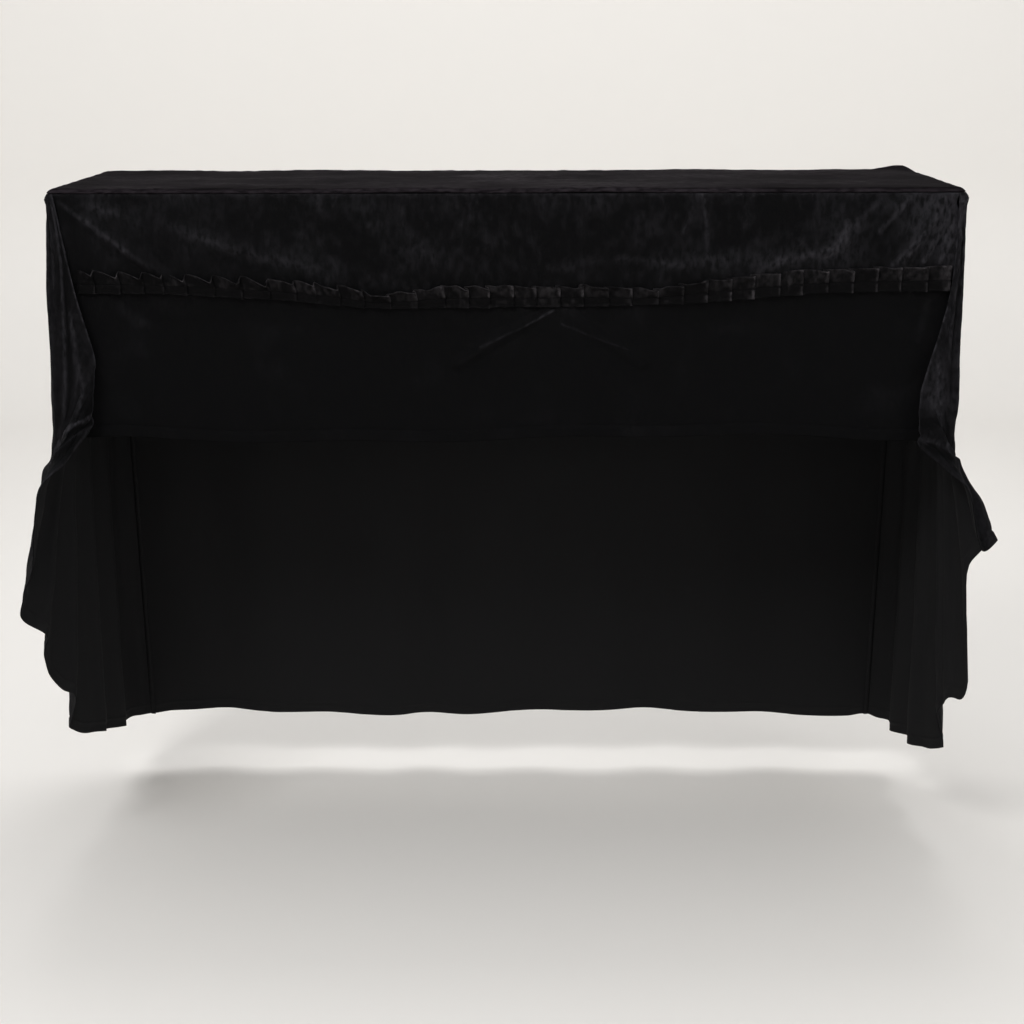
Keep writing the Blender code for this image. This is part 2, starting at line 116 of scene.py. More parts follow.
# Folds of the side panels, from the back seam round the front corner to the slit's free edge.
SIDE_COLUMNS = ("top", "chest_out", "chest_y", "waist_out", "waist_y", "waist_z",
                "swell", "hem_out", "hem_y", "hem_z")
LEFT_FOLDS = (
    (0, 0.7415, 0.186, 0.7415, 0.186, -0.42, 0, 0.7415, 0.186, -1.1),  # back seam
    (0.045, 0.754, 0.174, 0.757, 0.174, -0.42, 0, 0.764, 0.172, -1.1),  # back corner
    (0.19, 0.7585, 0.122, 0.766, 0.122, -0.42, 0.004, 0.789, 0.122, -1.092),  # ridge
    (0.32, 0.7545, 0.068, 0.756, 0.068, -0.42, 0, 0.764, 0.07, -1.075),
    (0.45, 0.759, 0.018, 0.768, 0.015, -0.42, 0.004, 0.794, 0.01, -1.055),  # ridge
    (0.56, 0.7545, -0.022, 0.757, -0.03, -0.42, 0, 0.768, -0.05, -1.03),
    (0.65, 0.759, -0.058, 0.769, -0.072, -0.42, 0.006, 0.798, -0.112, -1.005),  # third lobe
    (0.705, 0.757, -0.077, 0.764, -0.094, -0.42, 0.003, 0.8, -0.155, -0.965),
    (0.75, 0.7545, -0.094, 0.758, -0.112, -0.42, 0, 0.776, -0.192, -0.896),
    (0.795, 0.759, -0.112, 0.769, -0.131, -0.42, 0.004, 0.795, -0.216, -0.868),  # second lobe
    (0.835, 0.7595, -0.128, 0.771, -0.15, -0.42, 0.006, 0.802, -0.264, -0.788),
    (0.875, 0.7555, -0.147, 0.76, -0.168, -0.42, 0, 0.784, -0.296, -0.737),
    (0.94, 0.764, -0.18, 0.772, -0.195, -0.42, 0.006, 0.818, -0.322, -0.69),  # first lobe
    (0.957, 0.759, -0.194, 0.76, -0.22, -0.416, 0.003, 0.778, -0.362, -0.6),
    (0.97, 0.748, -0.195, 0.744, -0.228, -0.406, 0, 0.75, -0.372, -0.464),
    (0.985, 0.734, -0.201, 0.716, -0.217, -0.335, 0, 0.726, -0.286, -0.429),
    (1, 0.716, -0.196, 0.69, -0.2, -0.272, 0, 0.703, -0.205, -0.394),  # free edge
)
RIGHT_FOLDS = (
    (0, 0.7415, 0.186, 0.7415, 0.186, -0.42, 0, 0.7415, 0.186, -1.1),  # back seam
    (0.045, 0.7535, 0.174, 0.755, 0.174, -0.42, 0, 0.762, 0.172, -1.105),  # back corner
    (0.175, 0.7565, 0.128, 0.763, 0.128, -0.42, 0.003, 0.785, 0.128, -1.1),  # ridge
    (0.3, 0.754, 0.076, 0.755, 0.076, -0.42, 0, 0.762, 0.078, -1.088),
    (0.42, 0.757, 0.03, 0.764, 0.028, -0.42, 0.004, 0.79, 0.022, -1.075),  # ridge
    (0.54, 0.754, -0.014, 0.755, -0.02, -0.42, 0, 0.768, -0.036, -1.062),
    (0.64, 0.757, -0.054, 0.765, -0.066, -0.42, 0.004, 0.797, -0.095, -1.045),  # third lobe
    (0.7, 0.756, -0.077, 0.762, -0.092, -0.42, 0.002, 0.8, -0.15, -1.006),
    (0.75, 0.754, -0.094, 0.756, -0.112, -0.42, 0, 0.778, -0.176, -0.935),
    (0.79, 0.756, -0.11, 0.761, -0.13, -0.42, 0.004, 0.786, -0.205, -0.893),
    (0.83, 0.757, -0.126, 0.765, -0.148, -0.42, 0.012, 0.807, -0.246, -0.855),  # second lobe
    (0.88, 0.754, -0.149, 0.757, -0.168, -0.42, -0.002, 0.78, -0.276, -0.616),
    (0.945, 0.758, -0.182, 0.7585, -0.196, -0.42, -0.004, 0.813, -0.316, -0.56),  # first lobe
    (0.96, 0.756, -0.194, 0.7535, -0.218, -0.416, -0.002, 0.779, -0.346, -0.566),
    (0.972, 0.7495, -0.196, 0.742, -0.228, -0.406, -0.004, 0.746, -0.362, -0.464),
    (0.987, 0.7435, -0.2, 0.724, -0.216, -0.36, 0, 0.725, -0.275, -0.445),
    (1, 0.738, -0.195, 0.703, -0.2, -0.315, -0.004, 0.702, -0.205, -0.43),  # free edge
)

# Swells and hollows of the side panels: how far out, z and spread along it, y and spread along it.
PUFF_START = 0.01             # depth under the top seam over which they set in
LEFT_PUFFS = (
    (0.005, -0.012, 0.012, -0.18, 0.03),
    (0.002, -0.36, 0.05, -0.19, 0.06),
    (-0.007, -0.65, 0.03, -0.3, 0.045),
)
RIGHT_PUFFS = (
    (0.0055, -0.014, 0.01, -0.18, 0.03),
    (0.006, -0.34, 0.055, -0.19, 0.06),
    (0.008, -0.505, 0.035, -0.275, 0.045),
    (0.011, -0.588, 0.022, -0.284, 0.016),
)

# Further folds of the side panels: the fold line each starts and ends by, the shares of the
# way down where it starts and ends, its half width in fold lines, and its height. Folds that
# end past 1 run out over the hem.
LEFT_RIDGES = (
    (1.35, 1.2, 0.25, 1.5, 0.3, 0.007),
    (2.7, 2.55, 0.45, 1.5, 0.24, 0.006),
    (3.2, 3.5, 0.03, 0.75, 0.22, 0.003),
    (4.75, 4.5, 0.35, 1.5, 0.28, 0.007),
    (5.6, 5.35, 0.1, 1.5, 0.24, 0.005),
    (6.85, 6.55, 0.5, 1.5, 0.28, 0.007),
    (7.5, 8, 0.03, 0.75, 0.24, 0.0035),
    (9.5, 9.3, 0.35, 1.5, 0.28, 0.0055),
    (10.5, 11, 0.02, 0.5, 0.24, 0.0035),
    (11.4, 11.5, 0.5, 1.5, 0.26, 0.0045),
    (12.65, 12.45, 0.62, 1.5, 0.16, 0.003),
)
RIGHT_RIDGES = (
    (1.45, 1.25, 0.3, 1.5, 0.3, 0.007),
    (2.65, 2.5, 0.5, 1.5, 0.24, 0.006),
    (3.3, 3.6, 0.03, 0.7, 0.22, 0.003),
    (4.6, 4.45, 0.4, 1.5, 0.28, 0.007),
    (5.45, 5.6, 0.08, 1.5, 0.24, 0.005),
    (6.55, 6.5, 0.5, 1.5, 0.28, 0.007),
    (7.45, 7.9, 0.03, 0.7, 0.24, 0.0035),
    (8.6, 8.45, 0.4, 1.5, 0.26, 0.0055),
    (9.45, 9.25, 0.1, 1.5, 0.24, 0.0045),
    (10.6, 11.2, 0.02, 0.5, 0.24, 0.0035),
    (11.4, 11.5, 0.5, 1.5, 0.24, 0.0045),
    (12.55, 12.4, 0.62, 1.5, 0.16, 0.003),
)

# Creases of the side panels by the front corner: half width, height, the painted light along each
# (a painted highlight above 0, painted shade below it), and the points it runs through, as fold line
# and share of the way down. Rows without a height paint only highlight (light above 0) and shade
# (below 0) onto the pile.
LINE_PITCH, LINE_DROP = 0.022, 0.48           # metres that a fold line and the whole way down count as
PAINTED_LIGHT_SHARE = 0.7                             # width of a crease's light, as a share of its own
LEFT_TRACES = (
    (0.0045, 0.0026, 0.55, ((15.45, 0.04), (15.3, 0.26), (14.6, 0.45), (14.1, 0.66))),
    (0.005, -0.0022, -0.2, ((15.75, 0.1), (15.55, 0.3), (14.9, 0.48), (14.45, 0.68))),
    (0.0045, 0.0024, 0.5, ((15.3, 0.45), (15.1, 0.6), (15.25, 0.82))),
    (0.007, 0.0024, 0.25, ((13.4, 0.05), (13, 0.3), (13.2, 0.58))),
    (0.006, 0.002, 0.25, ((14.4, 0.05), (13.9, 0.26))),
    (0.0035, 0.0014, 0.15, ((13.3, 0.64), (14, 0.675), (15.2, 0.835), (15.7, 0.9))),
    (0.0038, 0.0034, 1.4, ((13.3, 0.668), (13.9, 0.725), (14.4, 0.79),
     (14.9, 0.855), (15.4, 0.895), (16, 0.95))),
    (0.006, -0.003, -0.25, ((13.5, 0.74), (14, 0.8), (14.6, 0.865), (15.2, 0.922),
     (15.8, 0.968))),
    (0.0035, 0.0014, 0.6, ((13.9, 0.85), (14.8, 0.905), (15.4, 0.948), (15.9, 0.985))),
    (0.0045, -0.0018, -0.2, ((13.7, 0.82), (14.2, 0.91), (14.8, 0.945), (15.4, 0.972))),
    (0.0045, 0.0022, 0.7, ((13, 0.66), (13.1, 0.72), (13.3, 0.8), (13.6, 0.9),
     (14, 0.99))),
    (0.035, 0, -0.3, ((13.6, 0.78), (14.6, 0.86), (15.8, 0.93))),
    (0.03, 0, -0.1, ((15.4, 0.25), (15, 0.65))),
    (0.0035, 0, 0.9, ((13.6, 0.99), (16, 0.99))),
)
RIGHT_TRACES = (
    (0.005, 0.0024, 0.3, ((15.2, 0.04), (14.9, 0.3), (14.7, 0.55))),
    (0.006, -0.0022, -0.2, ((14.6, 0.06), (14.2, 0.32), (14.3, 0.62))),
    (0.007, 0.0026, 0.3, ((13.6, 0.05), (13.1, 0.3), (13.3, 0.6))),
    (0.005, 0.0012, 0.35, ((15.6, 0.6), (15.2, 0.72), (14.7, 0.78))),
    (0.005, -0.0024, -0.45, ((16, 0.9), (15.6, 0.87), (15, 0.82), (14.4, 0.76),
     (13.9, 0.73))),
    (0.01, 0.0014, 0.25, ((15.2, 0.78), (14.9, 0.8))),
    (0.01, -0.0026, -0.4, ((14.3, 0.715), (14, 0.7))),
    (0.004, 0.0016, 0.5, ((15.8, 0.955), (15.4, 0.935), (14.92, 0.905), (14.5, 0.87))),
    (0.006, 0.0014, 0.3, ((14.5, 0.87), (14.1, 0.82), (13.6, 0.76), (13.2, 0.72))),
    (0.0045, -0.0014, -0.2, ((15.9, 0.985), (15.4, 0.97), (14.9, 0.945), (14.3, 0.91),
     (13.7, 0.85))),
    (0.0045, 0.0016, 0.4, ((13, 0.68), (13.1, 0.74), (13.4, 0.84), (13.7, 0.92),
     (14, 0.99))),
    (0.024, 0, 0.45, ((15.2, 0.66), (15, 0.76))),
    (0.045, 0, 0.1, ((15.2, 0.35), (14.6, 0.62))),
    (0.052, 0, 0.75, ((14.7, -0.01), (14.3, 0.11))),
    (0.0035, 0, 0.25, ((13.6, 0.99), (16, 0.99))),
)
ARM_HEM = 13.6                # fold line past which the hem is rolled over the arm
ARM_HEM_ROLL = 0.0014
EDGE_RISE = 0.0006            # the doubled cloth along the slit's free edge

# Rolls where a side panel breaks over the arm: share of the way down, how far that drifts with
# each further fold line, half width and height.
ARM_ROLLS = (
    (0.45, 0.15, 0.024, 0.005),
    (0.492, 0.155, 0.02, -0.001),
    (0.532, 0.155, 0.026, 0.004),
)
ARM_ROLL_START, ARM_ROLL_FULL = 10, 13
ARM_ROLL_OUT, ARM_ROLL_FORWARD, ARM_ROLL_UP = 0.4, 0.6, 0.6

# Creases of the front: x and z where they start and end, half width and height. The first rows
# of the front panel are tension folds from the left corner, the last ones the folds of the
# right corner.
FRONT_CREASES = (
    (-0.735, -0.02, -0.56, -0.14, 0.012, 0.0045),
    (-0.7, -0.016, -0.6, -0.056, 0.015, 0.0035),
    (-0.56, -0.05, -0.47, -0.098, 0.018, 0.004),
    (-0.46, -0.085, -0.28, -0.14, 0.02, 0.0045),
    (-0.3, -0.025, -0.09, -0.13, 0.03, 0.003),
    (0.33, -0.012, 0.345, -0.125, 0.012, 0.0035),
    (0.59, -0.012, 0.45, -0.125, 0.02, 0.003),
    (0.665, -0.006, 0.54, -0.1, 0.016, 0.0045),
    (0.722, -0.008, 0.65, -0.13, 0.016, 0.0045),
)
FRONT_FINE_CREASES = (
    (-0.735, -0.017, -0.689, -0.049, 0.0036, 0.0011),  # sharp crest of the corner fold
    (-0.689, -0.049, -0.627, -0.098, 0.0048, 0.0013),
    (-0.627, -0.098, -0.588, -0.124, 0.0052, 0.0008),
    (-0.69, -0.022, -0.632, -0.04, 0.006, 0.0005),
    (-0.547, -0.059, -0.45, -0.095, 0.0065, 0.0007),
    (-0.45, -0.095, -0.32, -0.128, 0.0075, 0.0006),
    (-0.18, -0.02, -0.15, -0.09, 0.009, 0.0004),
    (-0.05, -0.012, -0.075, -0.07, 0.009, 0.0003),
    (0.19, -0.11, 0.29, -0.122, 0.006, 0.0008),
    (0.314, -0.007, 0.293, -0.067, 0.004, 0.001),
    (0.322, -0.002, 0.328, -0.039, 0.003, 0.001),
    (0.328, -0.039, 0.336, -0.116, 0.0032, 0.001),
    (0.402, -0.01, 0.392, -0.06, 0.006, 0.0006),
    (0.562, -0.051, 0.559, -0.074, 0.004, 0.002),
    (0.557, -0.077, 0.531, -0.105, 0.0045, 0.002),
    (0.42, -0.133, 0.453, -0.116, 0.006, 0.0012),
    (0.453, -0.116, 0.542, -0.097, 0.006, 0.0014),
    (0.614, -0.014, 0.57, -0.062, 0.006, 0.001),
    (0.659, -0.016, 0.614, -0.067, 0.004, 0.0018),
    (0.688, -0.072, 0.642, -0.121, 0.0034, 0.0024),
    (0.71, -0.04, 0.658, -0.116, 0.0032, 0.0026),
    (0.736, -0.024, 0.691, -0.117, 0.0032, 0.003),
    (0.74, -0.056, 0.716, -0.121, 0.003, 0.0026),
    (0.716, -0.016, 0.725, -0.064, 0.003, 0.0024),
    (0.724, -0.008, 0.742, -0.12, 0.0026, 0.0028),
)
SKIRT_CREASES = (
    (0.083, -0.185, -0.08, -0.29, 0.01, 0.006),
    (0.083, -0.185, 0.23, -0.29, 0.01, 0.005),
    (-0.108, -0.2, -0.01, -0.27, 0.02, 0.0035),
    (-0.66, -0.19, -0.57, -0.42, 0.03, 0.004),
    (0.44, -0.19, 0.47, -0.42, 0.035, 0.004),
)
SKIRT_FINE_CREASES = (
    (0.08, -0.197, 0.035, -0.222, 0.0016, 0.0022),  # left leg of the tuck
    (0.035, -0.222, -0.042, -0.259, 0.0016, 0.001),
    (0.094, -0.221, 0.206, -0.264, 0.0016, 0.0009),  # its right leg
    (-0.643, -0.194, -0.611, -0.222, 0.01, 0.0004),
    (0.704, -0.182, 0.694, -0.25, 0.006, 0.0004),
)

# A tuck in the skirt: its two legs fall apart from under the band, the cloth between lies back.
TUCK_DEPTH = 0.005
TUCK_LEGS = (
    ((0.082, -0.195), (-0.05, -0.259), 1),
    ((0.086, -0.214), (0.205, -0.263), -1),
)

# Width of each pleat of the band from left to right, in millimetres of its drawn-up length.
PLEAT_WIDTHS = (28, 42, 40, 34, 38, 46, 46, 46, 44, 34, 40, 40, 44, 45, 46, 40, 35, 40,
                38, 40, 39, 42, 39, 44, 42, 40, 40, 38, 42, 38, 42, 42, 40, 39, 44, 35)

# Upper and lower edge of the pleated band along the front.
BAND_COLUMNS = ("x", "top", "bottom")
BAND_LINE = (
    (-0.712, -0.132, -0.168),
    (-0.59, -0.137, -0.167),
    (-0.44, -0.143, -0.175),
    (-0.35, -0.149, -0.181),
    (-0.275, -0.159, -0.188),
    (-0.21, -0.17, -0.193),
    (-0.145, -0.163, -0.193),
    (-0.095, -0.156, -0.192),
    (0.17, -0.156, -0.19),
    (0.255, -0.16, -0.187),
    (0.335, -0.147, -0.183),
    (0.415, -0.138, -0.177),
    (0.535, -0.13, -0.168),
    (0.732, -0.124, -0.165),
)
STITCH_SHARE = 0.42
STITCHED_DEPTH = 0.003        # depth of the pleats where they are stitched down
WAVE_OUT, WAVE_DOWN = 0.0022, 0.0040          # how far crushed frills wave
BAND_END = 0.716              # from here on the band is drawn out to the side panel's wrap
# How far the band's end reaches on, and the painted highlight along it.
BAND_END_REACH, BAND_END_HIGHLIGHT = 0.0035, 0.55
# How much the pleats' depth, lean and painted highlights vary from pleat to pleat:
UNEVEN_DEPTH, UNEVEN_LEAN, UNEVEN_HIGHLIGHT = 0.35, 0.5, 0.7     # as shares, from pleat to pleat
LOWER_RAGGED, FRILL_ROLL, STITCHES_DRAWN = 0.0012, 0.001, -0.0006
BAND_OUT = 0.0022             # from the front panel's middle surface to the band's backmost fold

# One knife pleat seen from above: how far along its pitch, and how far out of its depth.
PLEAT_COLUMNS = ("turn", "along", "out", "open_along")
FOLDED_EDGE = 0.68            # turn at which the pleat's outer edge lies
PLEAT_PROFILE = (
    (0, 0, 0, 0),
    (0.12, 0.16, 0.1, 0.15),
    (0.42, 0.56, 0.5, 0.48),
    (0.62, 0.93, 0.92, 0.8),
    (FOLDED_EDGE, 1.03, 1, 0.88),
    (0.73, 1.04, 0.86, 0.93),
    (0.8, 0.96, 0.6, 0.96),  # runs back under itself
    (0.89, 0.82, 0.42, 0.975),
    (0.93, 0.8, 0.2, 0.985),
    (0.97, 0.88, 0.03, 0.99),
    (1, 1, 0, 1),
)
# How the band's frills stand along the front: depth of the pleats at the free edges, how far
# the upper frill sags at each folded edge, how far it leans out, how crushed it is, how far
# its pleats open at the top, and how strong the painted highlights are along the folded edges
# of the upper and of the lower frill (the latter also deepens the lower frill's pleats) and along the
# upper rim.
FRILL_COLUMNS = ("x", "depth", "sag", "lean", "crush", "open", "upper", "lower", "rim")
FRILL_LINE = (
    (-0.712, 0.0075, 0.0105, 0.0015, 0.1, 1, 0.05, 0.3, 1),
    (-0.45, 0.0075, 0.011, 0.002, 0.25, 1, 0.1, 0.25, 0.9),
    (-0.33, 0.0072, 0.008, 0.0035, 0.9, 0.8, 0.3, 0.2, 0.8),
    (-0.2, 0.007, 0.005, 0.0045, 1.4, 0.6, 0.7, 0.1, 0.6),
    (-0.1, 0.007, 0.004, 0.003, 0.9, 0.4, 1.2, 0.08, 0.5),
    (0.05, 0.0075, 0.003, 0.0015, 0.7, 0.2, 1.2, 0.08, 0.3),
    (0.24, 0.007, 0.0025, 0.0015, 0.8, 0.15, 0.7, 0.3, 0.4),
    (0.4, 0.0065, 0.0025, 0.001, 0.7, 0.1, 0.4, 1, 0.5),
    (0.52, 0.0065, 0.0025, 0.001, 0.6, 0.1, 0.7, 0.6, 0.8),
    (0.732, 0.0065, 0.003, 0.001, 0.6, 0.1, 0.5, 0.5, 0.9),
)

# Folds of the back panel: x, half width and depth at the hem.
BACK_FOLDS = (
    (-0.585, 0.06, 0.016),
    (-0.375, 0.075, 0.012),
    (-0.17, 0.05, 0.018),
    (0.04, 0.08, 0.013),
    (0.285, 0.06, 0.017),
    (0.52, 0.07, 0.014),
)

# Patches where the crushed pile lies differently, its sheen painted in as lighter colour, and darker
# below 0: middle, half sizes, strength.
BRIGHTEST_PATCH = 1.2
FRONT_NAP_AND_SHEEN = (
    (-0.712, -0.025, 0.03, 0.028, -0.22),
    (-0.655, -0.029, 0.032, 0.011, 0.26),
    (-0.525, -0.012, 0.026, 0.009, 0.2),
    (-0.5, -0.078, 0.05, 0.012, 0.15),
    (-0.39, -0.112, 0.07, 0.01, 0.12),
    (-0.21, -0.04, 0.06, 0.035, 0.04),
    (-0.12, -0.1, 0.06, 0.02, 0.12),
    (0.07, -0.02, 0.08, 0.018, 0.08),
    (0.13, -0.12, 0.1, 0.012, 0.12),
    (0.31, -0.03, 0.03, 0.03, 0.08),
    (0.35, -0.115, 0.07, 0.016, 0.3),
    (0.5, -0.112, 0.09, 0.016, 0.34),
    (0.55, -0.08, 0.02, 0.03, 0.45),
    (0.64, -0.024, 0.05, 0.018, 0.32),
    (0.69, -0.06, 0.035, 0.045, 0.5),
    (0.725, -0.02, 0.03, 0.018, 0.75),
    (0.736, -0.06, 0.02, 0.06, 1.2),
)


# ---- small mathematics ----

def curve_through(stops, values, places):
    """Smooth curve through the values at the stops, read at every place."""
    stops, values = np.asarray(stops, float), np.asarray(values, float)
    places = np.asarray(places, float)
    last = len(stops) - 1
    wide = (-1,) + (1,) * (values.ndim - 1)
    low = np.maximum(np.arange(last + 1) - 1, 0)
    high = np.minimum(np.arange(last + 1) + 1, last)
    slopes = (values[high] - values[low]) / (stops[high] - stops[low]).reshape(wide)
    i = np.clip(np.searchsorted(stops, places, side="right") - 1, 0, last - 1)
    span = (stops[i + 1] - stops[i]).reshape(wide)
    t = (places - stops[i]).reshape(wide) / span
    reach = 3 * t ** 2 - 2 * t ** 3
    return (values[i] * (1 - reach) + values[i + 1] * reach
            + slopes[i] * span * (t ** 3 - 2 * t ** 2 + t)
            + slopes[i + 1] * span * (t ** 3 - t ** 2))


def curves_of(columns, table, places):
    """A table's other columns as smooth curves over its first one, read at every place."""
    stops, *lines = np.array(table).T
    inside = np.clip(places, stops[0], stops[-1]).ravel()
    return {name: curve_through(stops, line, inside).reshape(np.shape(places))
            for name, line in zip(columns[1:], lines)}


def ease(share):
    """0 to 1 with a soft start and end."""
    share = np.clip(share, 0.0, 1.0)
    return share * share * (3 - 2 * share)


def bump(distance, half_width):
    """Rounded ridge: 1 at its middle, fading out past its half width."""
    return np.exp(-(distance / half_width) ** 2)


def from_stretch(across, down, start, end):
    """Distance of each point from the straight stretch between two points."""
    run = np.subtract(end, start)
    along = ((across - start[0]) * run[0] + (down - start[1]) * run[1]) / run.dot(run)
    near = np.clip(along, 0, 1)
    return np.hypot(across - start[0] - near * run[0], down - start[1] - near * run[1])


def lumps(across, down, cell, seed):
    """Smooth random field from -1 to 1 on the flat cloth, its lumps one cell wide and high."""
    a, b = across / cell[0], down / cell[1]
    a0, b0 = np.floor(a).astype(int), np.floor(b).astype(int)
    a_low, b_low = a0.min(), b0.min()
    lattice = np.random.RandomState(seed).uniform(
        -1, 1, (a0.max() - a_low + 2, b0.max() - b_low + 2))
    i, j = a0 - a_low, b0 - b_low
    s, t = ease(a - a0), ease(b - b0)
    upper = lattice[i, j] * (1 - s) + lattice[i + 1, j] * s
    lower = lattice[i, j + 1] * (1 - s) + lattice[i + 1, j + 1] * s
    return upper * (1 - t) + lower * t


# ---- grids of points ----

def steps(points, axis):
    """Length of cloth from a grid's first row or column to each point, along one axis."""
    gaps = np.linalg.norm(np.diff(points, axis=axis), axis=2)
    start = np.zeros_like(np.take(gaps, [0], axis=axis))
    return np.concatenate((start, np.cumsum(gaps, axis=axis)), axis=axis)


def hem_places(length, count):
    """Distances down a cloth of this length: even, but close together by its seam and hem."""
    seam = np.array((0.0, 0.002, 0.004, 0.007, 0.011))
    hem = np.array((0.026, 0.023, 0.0215, 0.02, 0.0185, 0.016, 0.011, 0.005, 0.002, 0.0))
    middle = np.linspace(0.016, length - 0.032, count - len(seam) - len(hem))
    return np.concatenate((seam, middle, length - hem))


def with_hem_rows(points, count):
    """The same surface with rows as hem_places sets them, down every column."""
    columns = []
    for length, line in zip(steps(points, 0).T, points.transpose(1, 0, 2)):
        places = hem_places(length[-1], count)
        columns.append(np.stack([np.interp(places, length, values) for values in line.T], 1))
    return np.stack(columns, 1)


def normals(points):
    """Unit vector out of the cloth at each point of a grid."""
    out = np.cross(np.gradient(points, axis=1), -np.gradient(points, axis=0))
    return out / np.maximum(np.linalg.norm(out, axis=2, keepdims=True), 1e-12)


def push(points, heights):
    """Moves each point of a grid out of the cloth by its height."""
    return points + normals(points) * heights[..., None]


def hem_relief(across, from_hem, seed):
    """A turned hem: doubled cloth, its stitches drawn in, and small puckers along them."""
    doubled = HEM_RISE * ease((HEM - from_hem) / 0.004)
    stitched = HEM_DRAWN * bump(from_hem - HEM, 0.0022)
    puckers = HEM_PUCKER * lumps(across, from_hem, (0.009, 0.03), seed)
    return doubled + stitched + puckers * bump(from_hem - HEM, 0.012)


def seam_relief(across, from_seam, seed):
    """A sewn seam: the cloth draws in at it, with short puckers running away from it."""
    puckers = SEAM_PUCKER * lumps(across, from_seam, (0.012, 0.2), seed)
    return SEAM_DRAWN * bump(from_seam, 0.003) + puckers * bump(from_seam - 0.007, 0.009)


def ridges(table, column, share):
    """Height of folds that run down a side panel: each drifts from one column to another."""
    total = np.zeros_like(share)
    for first, last, start, end, half_width, height in table:
        run = (share - start) / (end - start)
        middle = first + (last - first) * np.clip(run, 0, 1)
        fade = ease(run / 0.3 + 0.15) * ease((1 - run) / 0.3 + 0.15)
        total += height * bump(column - middle, half_width) * fade
    return total


def traced(table, column, share):
    """Height of creases traced from point to point over a side panel, and the highlight and shade
    painted along them.
    """
    relief, nap_and_painted_light = np.zeros_like(share), np.zeros_like(share)
    across, down = column * LINE_PITCH, share * LINE_DROP
    for half_width, height, light, points in table:
        line = np.multiply(points, (LINE_PITCH, LINE_DROP))
        distance = np.min([from_stretch(across, down, start, end)
                           for start, end in zip(line, line[1:])], axis=0)
        relief += height * bump(distance, half_width)
        nap_and_painted_light += light * bump(distance, PAINTED_LIGHT_SHARE * half_width)
    return relief, nap_and_painted_light


def crushed(across, down, seed, strength):
    """Soft dents of velvet that has lain folded."""
    return strength * sum(depth * lumps(across, down, cell, seed + i)
                          for i, (cell, depth) in enumerate(DENTS))


def mottled(layers, across, down, panel_seed=0):
    """Random patches where the pile lies lighter or darker."""
    return sum(strength * lumps(across, down, cell, panel_seed + seed)
               for strength, cell, seed in layers)


# ---- meshes ----

def add_object(name, data):
    """Puts an object of this mesh, light or camera into the scene."""
    made = bpy.data.objects.new(name, data)
    bpy.context.scene.collection.objects.link(made)
    return made


def cloth(name, points, nap_and_painted_light, looks, thickness=CLOTH):
    """A sheet on a grid of points, with the lie of its pile and the light and shade painted on it, and
    the looks of its two sides.
    """
    rows, columns = points.shape[:2]
    index = np.arange(rows * columns).reshape(rows, columns)
    corners = (index[:-1, :-1], index[1:, :-1], index[1:, 1:], index[:-1, 1:])
    mesh = bpy.data.meshes.new(name)
    mesh.from_pydata(points.reshape(-1, 3).tolist(), [],
                     np.stack(corners, -1).reshape(-1, 4).tolist())
    mesh.attributes.new("nap_and_painted_light", "FLOAT", "POINT").data.foreach_set("value", nap_and_painted_light.ravel())
    mesh.shade_smooth()
    for material in looks:
        mesh.materials.append(material)
    piece = add_object(name, mesh)
    solid = piece.modifiers.new("Cloth", "SOLIDIFY")
    solid.thickness = thickness
    solid.offset = 0.0
    solid.material_offset = 1
    return piece


def declare(piece, node):
    """Says of a panel what it rides on, and hides the solid it stands for."""
    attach(piece, "root")
    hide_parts(node)


# ---- top ----

def lid_rise(x, y):
    """How far the cloth stands off the lid: the ear at the right back corner, faint ripples."""
    ear = EAR_HEIGHT * bump(x - EAR_X, EAR_SPREAD) * bump(y - HALF_DEPTH, EAR_SPREAD)
    ripple = RIPPLE * (1 + np.sin(19 * x + 9 * y)) * (1 + np.sin(25 * y - 7 * x))
    return (ear + ripple) * ease((HALF_WIDTH - np.abs(x)) / EAR_END)


def round_corner(x, y):
    """Moves points of a square-cornered rectangle onto one with rounded corners."""
    across, along = (np.abs(x) - ARC_X) / CORNER, (np.abs(y) - ARC_Y) / CORNER
    corner = (across > 0) & (along > 0)
    disc_x = across * np.sqrt(1 - np.clip(along, 0, 1) ** 2 / 2)
    disc_y = along * np.sqrt(1 - np.clip(across, 0, 1) ** 2 / 2)
    return (np.where(corner, np.copysign(ARC_X + CORNER * disc_x, x), x),
            np.where(corner, np.copysign(ARC_Y + CORNER * disc_y, y), y))


def rim_places(half, count):
    """Places across the top from -half to half, close together by its rim."""
    rim = half - np.array((0.0, 0.0015, 0.003, 0.005, 0.007, 0.009, 0.012, 0.016, 0.021))
    return np.concatenate((-rim, np.linspace(-half + 0.027, half - 0.027, count), rim[::-1]))


